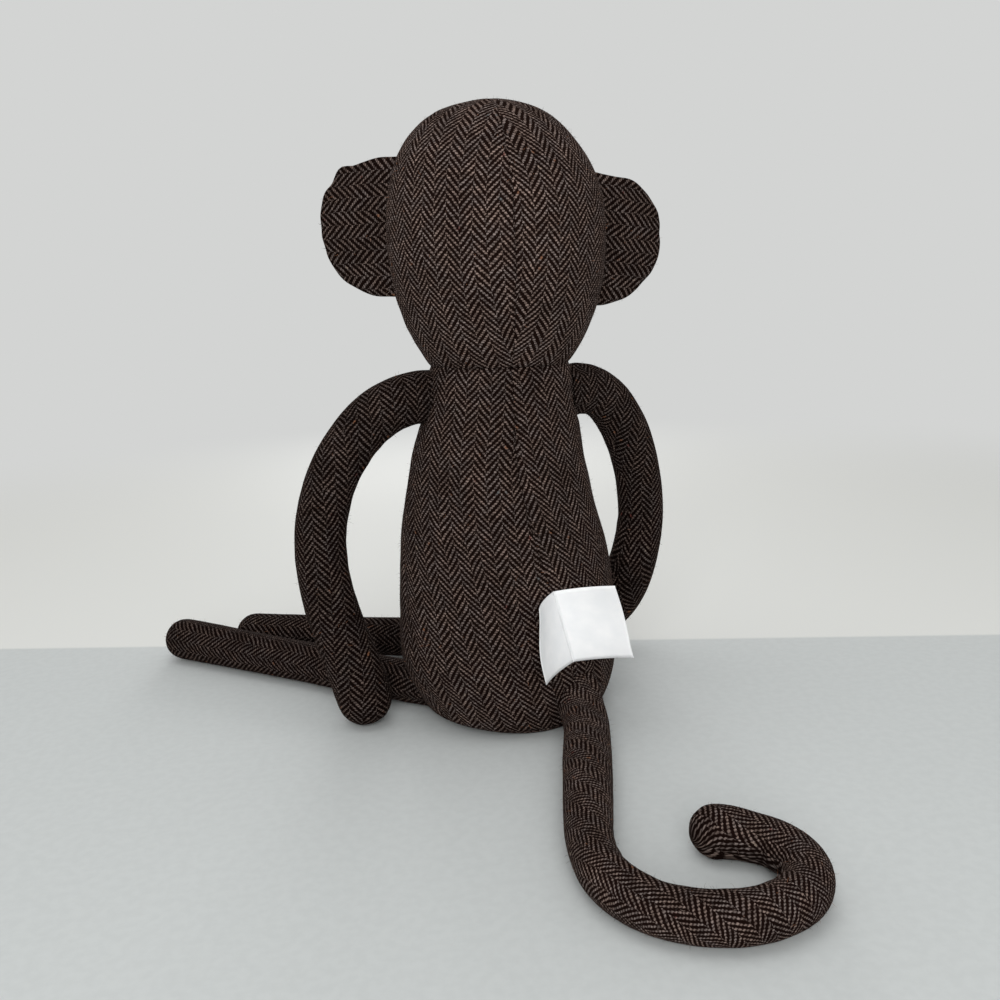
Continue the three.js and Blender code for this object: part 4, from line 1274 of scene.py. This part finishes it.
def add_fuzz(cloth, seed, follow):
    """Loose fibres standing out of a cloth, following it in every pose."""
    rng = np.random.default_rng(seed)
    mesh = cloth.data
    corners = np.array([v.co for v in mesh.vertices]) / MM
    quads = [f for f in mesh.polygons if len(f.vertices) == 4]
    areas = np.array([f.area for f in quads])
    count = int(areas.sum() * FIBRES_PER_SQUARE_METRE)
    picks = rng.choice(len(quads), count, p=areas / areas.sum())
    shares = rng.random((count, 2))
    points, faces, weave = [], [], []
    for index, (across, up) in zip(picks, shares):
        quad = quads[index]
        a, b, c, d = corners[list(quad.vertices)]
        root = mix(mix(a, b, across), mix(d, c, across), up)
        normal = np.array(quad.normal)
        lean = rng.normal(size=3)
        ahead = unit(normal * FIBRE_STAND + lean)
        ahead = ahead if np.dot(ahead, normal) > FIBRE_FLATTEST else unit(ahead + normal)
        curl = rng.normal(size=3) * FIBRE_CURL
        length = FIBRE_LENGTH * rng.uniform(*FIBRE_SPREAD)
        width = unit(np.cross(ahead, normal + FIBRE_SIDEWAYS * lean)) * FIBRE_WIDTH / 2
        middle = root + ahead * length / 2
        tip = root + (ahead + curl) * length
        base = len(points)
        points.extend([root - width, root + width, middle + width, middle - width, tip])
        faces.extend([(base, base + 1, base + 2, base + 3), (base + 3, base + 2, base + 4)])
        weave.extend([(rng.random(), 0.0)] * FIBRE_CORNERS)
    points = np.array(points)
    points[:, 2] = np.maximum(points[:, 2], 0.0)
    fuzz = make_object(cloth.name.replace("_cloth", "_fuzz"), points, faces, weave, FIBRE)
    follow(fuzz)


LIMBS = {
    "arm_left": arm_limb(1, ARM_LEFT_SWING, ARM_LEFT_BENDS),
    "arm_right": arm_limb(-1, ARM_RIGHT_SWING, ARM_RIGHT_BENDS),
    "leg_left": leg_limb(1, LEG_LEFT_HEADING, LEG_LEFT_BENDS),
    "leg_right": leg_limb(-1, LEG_RIGHT_HEADING, LEG_RIGHT_BENDS),
    "tail": tail_limb(),
}


def build_torso():
    top = TORSO_HEIGHT + NECK_TUCK
    for index, (name, first, last, shift) in enumerate(TORSO_PANELS):
        obj = panel(name + "_cloth", TORSO, first, last, BASE_SEAM, top, TWEED_TORSO_PAINTED_SHADE, shift, LIMBS.values())
        nodes = [name, "torso_stuffing"] if name == "torso_front" else [name]
        dress(obj, "torso", nodes)
        add_fuzz(obj, SEED + index, lambda fuzz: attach(fuzz, "torso"))
    base = base_panel("torso_base_cloth", TWEED_TORSO_PAINTED_SHADE)
    dress(base, "torso", ["torso_base"])


def build_head():
    low = TORSO_HEIGHT - HEAD_TUCK
    for index, (name, first, last, shift) in enumerate(HEAD_PANELS):
        obj = panel(name + "_cloth", HEAD, first, last, low, HEAD_TOP, TWEED_HEAD_PAINTED_LIGHT, shift)
        nodes = [name, "head_stuffing"] if name == "head_front" else [name]
        bend_dress(obj, "torso", "head", *NECK_BLEND, "tweed", nodes)
        add_fuzz(obj, SEED + HEAD_SEED + index, lambda fuzz: bend_between(fuzz, "torso", "head", *NECK_BLEND))


def build_ears():
    for name, side in (("ear_left", 1), ("ear_right", -1)):
        hinge, outward, _ = ear_place(side)
        for part, shift in EAR_WEAVE_SHIFT.items():
            front = part == "front"
            obj = ear_cloth(f"{name}_{part}_cloth", side, front, TWEED_EARS_PAINTED_SHADE, shift)
            nodes = [f"{name}_{part}"] + ([f"{name}_wadding"] if front else [])
            ends = [hinge + outward * reach for reach in EAR_BEND]
            bend_dress(obj, "head", name, *ends, "tweed", nodes)
            add_fuzz(obj, SEED + EAR_SEED + side, lambda fuzz: bend_between(fuzz, "head", name, *ends))


def build_limbs():
    for index, (name, limb) in enumerate(LIMBS.items()):
        limb["shift"] = LIMB_SHIFT * (index + 1)
        obj = limb_object(name + "_cloth", limb, TWEED_TAIL_PAINTED_SHADE if name == "tail" else TWEED_LIMBS_PAINTED_SHADE)
        ends = (limb["root"], limb["root"] + limb["ahead"] * LIMB_BEND)
        bend_dress(obj, "torso", name, *ends, "tweed", [name + "_cover", name + "_stuffing"])
        add_fuzz(obj, SEED + LIMB_SEED + index, lambda fuzz: bend_between(fuzz, "torso", name, *ends))


# Label


def label_root():
    """Middle of the label at the back seam, with the directions along the seam and out of it."""
    back = math.radians(BACK)
    spots = [LABEL_MIDDLE_AT - LABEL_LENGTH / 2, LABEL_MIDDLE_AT, LABEL_MIDDLE_AT + LABEL_LENGTH / 2]
    foot, middle, head = (TORSO.point(back, np.array(z), TOUCH_GAP) for z in spots)
    along = unit(head - foot)
    out = unit(middle * np.array([1, 1, 0]))
    out = unit(out - along * np.dot(out, along))
    return middle + out * LABEL_THICKNESS, along, out


def label_leaf(name, lean, twist, tilt, material):
    """One bare ribbon leaf that leaves the back seam, curls, twists, tilts and waves a little."""
    middle, along, out = label_root()
    sign = math.copysign(1, lean)
    start = middle + np.cross(along, out) * sign * LABEL_FOLD
    columns, rows = LABEL_COLUMNS, LABEL_ROWS
    heights = np.linspace(-LABEL_LENGTH / 2, LABEL_LENGTH / 2, rows + 1)
    turned = sign * twist * heights / (LABEL_LENGTH / 2)
    spots = start + np.outer(heights, along)
    lines = []
    for i in range(columns + 1):
        share = i / columns
        turn = np.radians(lean - turned - sign * LABEL_CURL * share)
        ahead = np.outer(np.cos(turn), out) + np.outer(np.sin(turn), np.cross(along, out))
        ahead = (ahead + tilt * along) / math.hypot(1, tilt)
        wave = LABEL_WAVE * share * np.sin(heights / LABEL_LENGTH * LABEL_WAVES + sign)
        lines.append(spots + wave[:, None] * np.cross(along, ahead))
        spots = spots + ahead * LABEL_REACH / columns
    points = np.array(lines)
    reaches = np.linspace(0, LABEL_REACH, columns + 1)
    reach, height = np.meshgrid(reaches, np.linspace(0, LABEL_LENGTH, rows + 1))
    cloth = np.stack([reach.T, height.T], axis=-1)
    obj = grid_object(name, points, cloth, material)
    thick = obj.modifiers.new("thickness", "SOLIDIFY")
    thick.thickness = LABEL_THICKNESS * RIBBON_SHARE * MM
    thick.offset = 0.0
    return obj


def build_label_fold():
    """The fold of the ribbon at the seam, which joins the roots of its two leaves."""
    middle, along, out = label_root()
    radius = LABEL_FOLD_WIDTH / 2
    turns = np.linspace(0, 2 * math.pi, LABEL_FOLD_SIDES + 1)
    ring = radius * (np.outer(np.cos(turns), np.cross(along, out)) + np.outer(np.sin(turns), out))
    heights = np.linspace(-LABEL_LENGTH / 2, LABEL_LENGTH / 2, LABEL_ROWS + 1)
    points = (middle + np.outer(heights, along))[:, None] + ring
    place = np.stack(np.meshgrid(radius * turns, heights), axis=-1)
    obj = grid_object("label_fold_ribbon", points, place, SATIN, flip=True)
    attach(obj, "torso")


def build_labels():
    leaves = [
        ("label_right", LABEL_RIGHT_LEAN + LABEL_RIGHT_SWING, 0.0, LABEL_RIGHT_TILT),
        ("label_left", -LABEL_LEFT_LEAN - LABEL_LEFT_SWING, LABEL_LEFT_TWIST, LABEL_LEFT_TILT),
    ]
    for name, lean, twist, tilt in leaves:
        leaf = label_leaf(name + "_ribbon", lean, twist, tilt, SATIN)
        dress(leaf, name, [name])


# Face


def face_point(x, z, offset):
    """Point on the front of the head at x across and z above the neck seam."""
    height = TORSO_HEIGHT + np.asarray(z, float)
    radius = head_radius(height)
    angle = 2 * math.pi - np.arccos(np.clip(np.asarray(x, float) / radius, -1, 1))
    return HEAD.point(angle, height, offset)


def patch_reach(angle):
    """Distance from the middle of the face to the outline of its three joined ovals."""
    ovals = [
        (0.0, MUZZLE_AT, MUZZLE_WIDTH, MUZZLE_HEIGHT),
        (BROW_SPACING / 2, BROW_AT, BROW_WIDTH, BROW_HEIGHT),
        (-BROW_SPACING / 2, BROW_AT, BROW_WIDTH, BROW_HEIGHT),
    ]
    steps = np.linspace(0, HEAD_WIDTH / 2, OUTLINE_STEPS)
    x = steps * math.cos(angle)
    z = FACE_MIDDLE + steps * math.sin(angle)
    inside = np.zeros_like(steps, bool)
    for middle_x, middle_z, width, height in ovals:
        inside |= ((x - middle_x) / (width / 2)) ** 2 + ((z - middle_z) / (height / 2)) ** 2 <= 1
    return steps[np.nonzero(inside)[0][-1]]


def build_face_patch():
    angles = np.linspace(0, 2 * math.pi, FACE_SPOKES + 1)
    reach = np.array([patch_reach(a) for a in angles])
    flat_rings = FACE_RINGS + 1 - len(FACE_EDGE)
    shares = np.concatenate([np.linspace(0, FACE_FLAT_SHARE, flat_rings), [step[0] for step in FACE_EDGE]])
    rise = np.concatenate([np.ones(flat_rings), [step[1] for step in FACE_EDGE]])
    angle, share = np.meshgrid(angles, shares)
    x = share * reach[None, :] * np.cos(angle)
    z = FACE_MIDDLE + share * reach[None, :] * np.sin(angle)
    points = face_point(x, z, (FACE_LIFT + FELT) * rise[:, None])
    obj = grid_object("face_patch_felt", points, np.stack([x, z], axis=-1), FELT_TAN)
    dress(obj, "head", ["face_patch"])


def build_face_stitches():
    """Running stitches that hold the felt, just inside its edge."""
    points, faces, weave = [], [], []
    for i in range(STITCH_COUNT):
        spots = []
        for at in (i, i + STITCH_SHARE):
            angle = 2 * math.pi * at / STITCH_COUNT
            reach = patch_reach(angle) - STITCH_INSET
            spots.append(np.array([reach * math.cos(angle), FACE_MIDDLE + reach * math.sin(angle)]))
        add_stitch(points, faces, weave, *spots, STITCH_WIDTH)
    obj = make_object("face_patch_stitches", points, faces, weave, STITCH)
    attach(obj, "head")


def add_stitch(points, faces, weave, first, last, width):
    """A rounded thread from one place of the face to another."""
    steps, sides = STITCH_STEPS, STITCH_SIDES
    run = last - first
    cross = unit(np.array([-run[1], run[0]]))
    base = len(points)
    for i in range(steps + 1):
        share = i / steps
        hump = math.sin(math.pi * share)
        spot = first + run * share
        for j in range(sides):
            turn = 2 * math.pi * j / sides
            place = spot + cross * math.cos(turn) * width / 2
            lift = FACE_LIFT + FELT - STITCH_SINK + hump * STITCH_HUMP + math.sin(turn) * width / 2
            points.append(face_point(place[0], place[1], lift))
    for i in range(steps):
        for j in range(sides):
            k = (j + 1) % sides
            a, b = base + i * sides + j, base + i * sides + k
            faces.append((a, a + sides, b + sides, b))
            near, far = j * STRAND_STEP, j * STRAND_STEP + STRAND_STEP
            weave.extend([(near, i), (near, i + 1), (far, i + 1), (far, i)])


def build_eyes():
    angles = np.linspace(0, 2 * math.pi, EYE_SPOKES + 1)
    for name, side in (("eye_left", 1), ("eye_right", -1)):
        share = np.concatenate([np.linspace(0, 1, EYE_RINGS), [EYE_TUCK]])
        lift = EYE_RISE * np.sqrt(np.clip(1 - share ** 2, 0, 1)) * EYE_BULGE
        lift[-1] = EYE_SINK
        angle, reach = np.meshgrid(angles, share * EYE_DIAMETER / 2)
        x = side * EYE_SPACING / 2 + reach * np.cos(angle)
        z = EYE_AT + reach * np.sin(angle)
        points = face_point(x, z, FACE_LIFT + FELT + lift[:, None])
        obj = grid_object(name + "_bead", points, np.stack([x, z], axis=-1), BEAD)
        dress(obj, "head", [name])


def build_nose():
    points, faces, weave = [], [], []
    for i in range(NOSE_STITCHES):
        x = mix(-NOSE_WIDTH / 2, NOSE_WIDTH / 2, (i + 0.5) / NOSE_STITCHES)
        half = NOSE_HEIGHT / 2 * math.sqrt(1 - (2 * x / NOSE_WIDTH) ** 2)
        ends = [np.array([x, NOSE_AT - half]), np.array([x, NOSE_AT + half])]
        add_stitch(points, faces, weave, *ends, NOSE_THREAD)
    nose = make_object("nose_satin_stitch", points, faces, weave, STITCH)
    dress(nose, "head", ["nose_stitch"])


def build_mouth():
    points, faces, weave = [], [], []
    spots = []
    for i in range(MOUTH_STITCHES + 1):
        share = 2 * i / MOUTH_STITCHES - 1
        sag = MOUTH_SAG * (1 - share * share)
        spots.append(np.array([share * MOUTH_WIDTH / 2, MOUTH_AT - sag + THREAD / 2]))
    for first, last in zip(spots, spots[1:]):
        add_stitch(points, faces, weave, first, last, THREAD)
    mouth = make_object("mouth_back_stitch", points, faces, weave, STITCH)
    dress(mouth, "head", ["mouth_stitch"])


# Stage


def build_stage():
    """Pale floor, paler past the foot of the photo's wall, that fades far off into the wall's colour."""
    half = FLOOR_SIZE / 2
    mesh = bpy.data.meshes.new("floor")
    corners = [(-half, -half, 0), (half, -half, 0), (half, half, 0), (-half, half, 0)]
    mesh.from_pydata(corners, [], [(0, 1, 2, 3)])
    floor = bpy.data.objects.new("floor", mesh)
    link(floor)
    g = material_graph("floor_paper")
    place = g.add("ShaderNodeTexCoord").outputs["Object"]
    offset = g.vector("SUBTRACT", place, (*WALL_AT, 0.0))
    before = g.vector("DOT_PRODUCT", offset, (*WALL_NORMAL, 0.0), output="Value")
    beyond = g.ease(before, WALL_LINE, -WALL_LINE)
    far = g.ease(g.vector("LENGTH", place, output="Value"), *FLOOR_FADE)
    path = g.add("ShaderNodeLightPath")
    seen = g.math("MULTIPLY", far, path.outputs["Is Camera Ray"])
    grain = g.ease(g.noise(place, *FLOOR_GRAIN_NOISE), *FLOOR_GRAIN_EASE)
    paper = g.blend(grain, colour(*FLOOR_FLECK), colour(*FLOOR_COLOUR))
    tint = g.blend(beyond, paper, colour(*WALL_FOOT_COLOUR))
    g.finish(tint, FLOOR_ROUGHNESS)
    flat = g.add("ShaderNodeEmission")
    flat.inputs["Color"].default_value = colour(*WALL_COLOUR)
    g.show(seen, g.shader, flat, "Material Output")
    mesh.materials.append(g.owner)


def build_world():
    """Even light all round, with the wall's colour wherever the world itself is seen."""
    world = bpy.data.worlds.new("studio")
    bpy.context.scene.world = world
    g = Graph(world)
    light = g.nodes["Background"]
    light.inputs["Color"].default_value = (1, 1, 1, 1)
    light.inputs["Strength"].default_value = WORLD_LIGHT
    wall = g.add("ShaderNodeBackground")
    wall.inputs["Color"].default_value = colour(*WALL_COLOUR)
    path = g.add("ShaderNodeLightPath")
    seen = g.math("MAXIMUM", path.outputs["Is Camera Ray"], path.outputs["Is Glossy Ray"])
    clear = g.math("MAXIMUM", seen, path.outputs["Is Transmission Ray"])
    g.show(clear, light, wall, "World Output")


def area_light(name, place, target, size, power):
    data = bpy.data.lights.new(name, "AREA")
    data.size = size
    data.energy = power
    obj = bpy.data.objects.new(name, data)
    link(obj)
    obj.location = place
    obj.rotation_euler = (Vector(target) - Vector(place)).to_track_quat("-Z", "Y").to_euler()
    obj.visible_camera = False


def build_lights():
    for name, (place, size, power) in LIGHTS.items():
        area_light(name, place, LIGHT_TARGET, size, power)


# Camera


def build_camera():
    data = bpy.data.cameras.new("camera")
    data.sensor_width = CAMERA_SENSOR
    data.lens = CAMERA_LENS
    data.clip_start = CAMERA_NEAR
    obj = bpy.data.objects.new("camera", data)
    link(obj)
    pitch, roll = math.radians(CAMERA_PITCH), math.radians(CAMERA_ROLL)
    level = Vector((*CAMERA_HEADING, 0.0)).normalized()
    forward = level * math.cos(pitch) - Vector((0, 0, 1)) * math.sin(pitch)
    right = level.cross(Vector((0, 0, 1)))
    up = right.cross(forward)
    rolled_right = right * math.cos(roll) - up * math.sin(roll)
    rolled_up = up * math.cos(roll) + right * math.sin(roll)
    turn = Matrix((rolled_right, rolled_up, -forward)).transposed()
    obj.matrix_world = Matrix.Translation(CAMERA_AT) @ turn.to_4x4()
    bpy.context.scene.camera = obj


build_camera()
build_torso()
build_head()
build_ears()
build_limbs()
build_labels()
build_label_fold()
build_face_patch()
build_face_stitches()
build_eyes()
build_nose()
build_mouth()
build_stage()
build_world()
build_lights()
bpy.context.scene.view_settings.view_transform = "Standard"
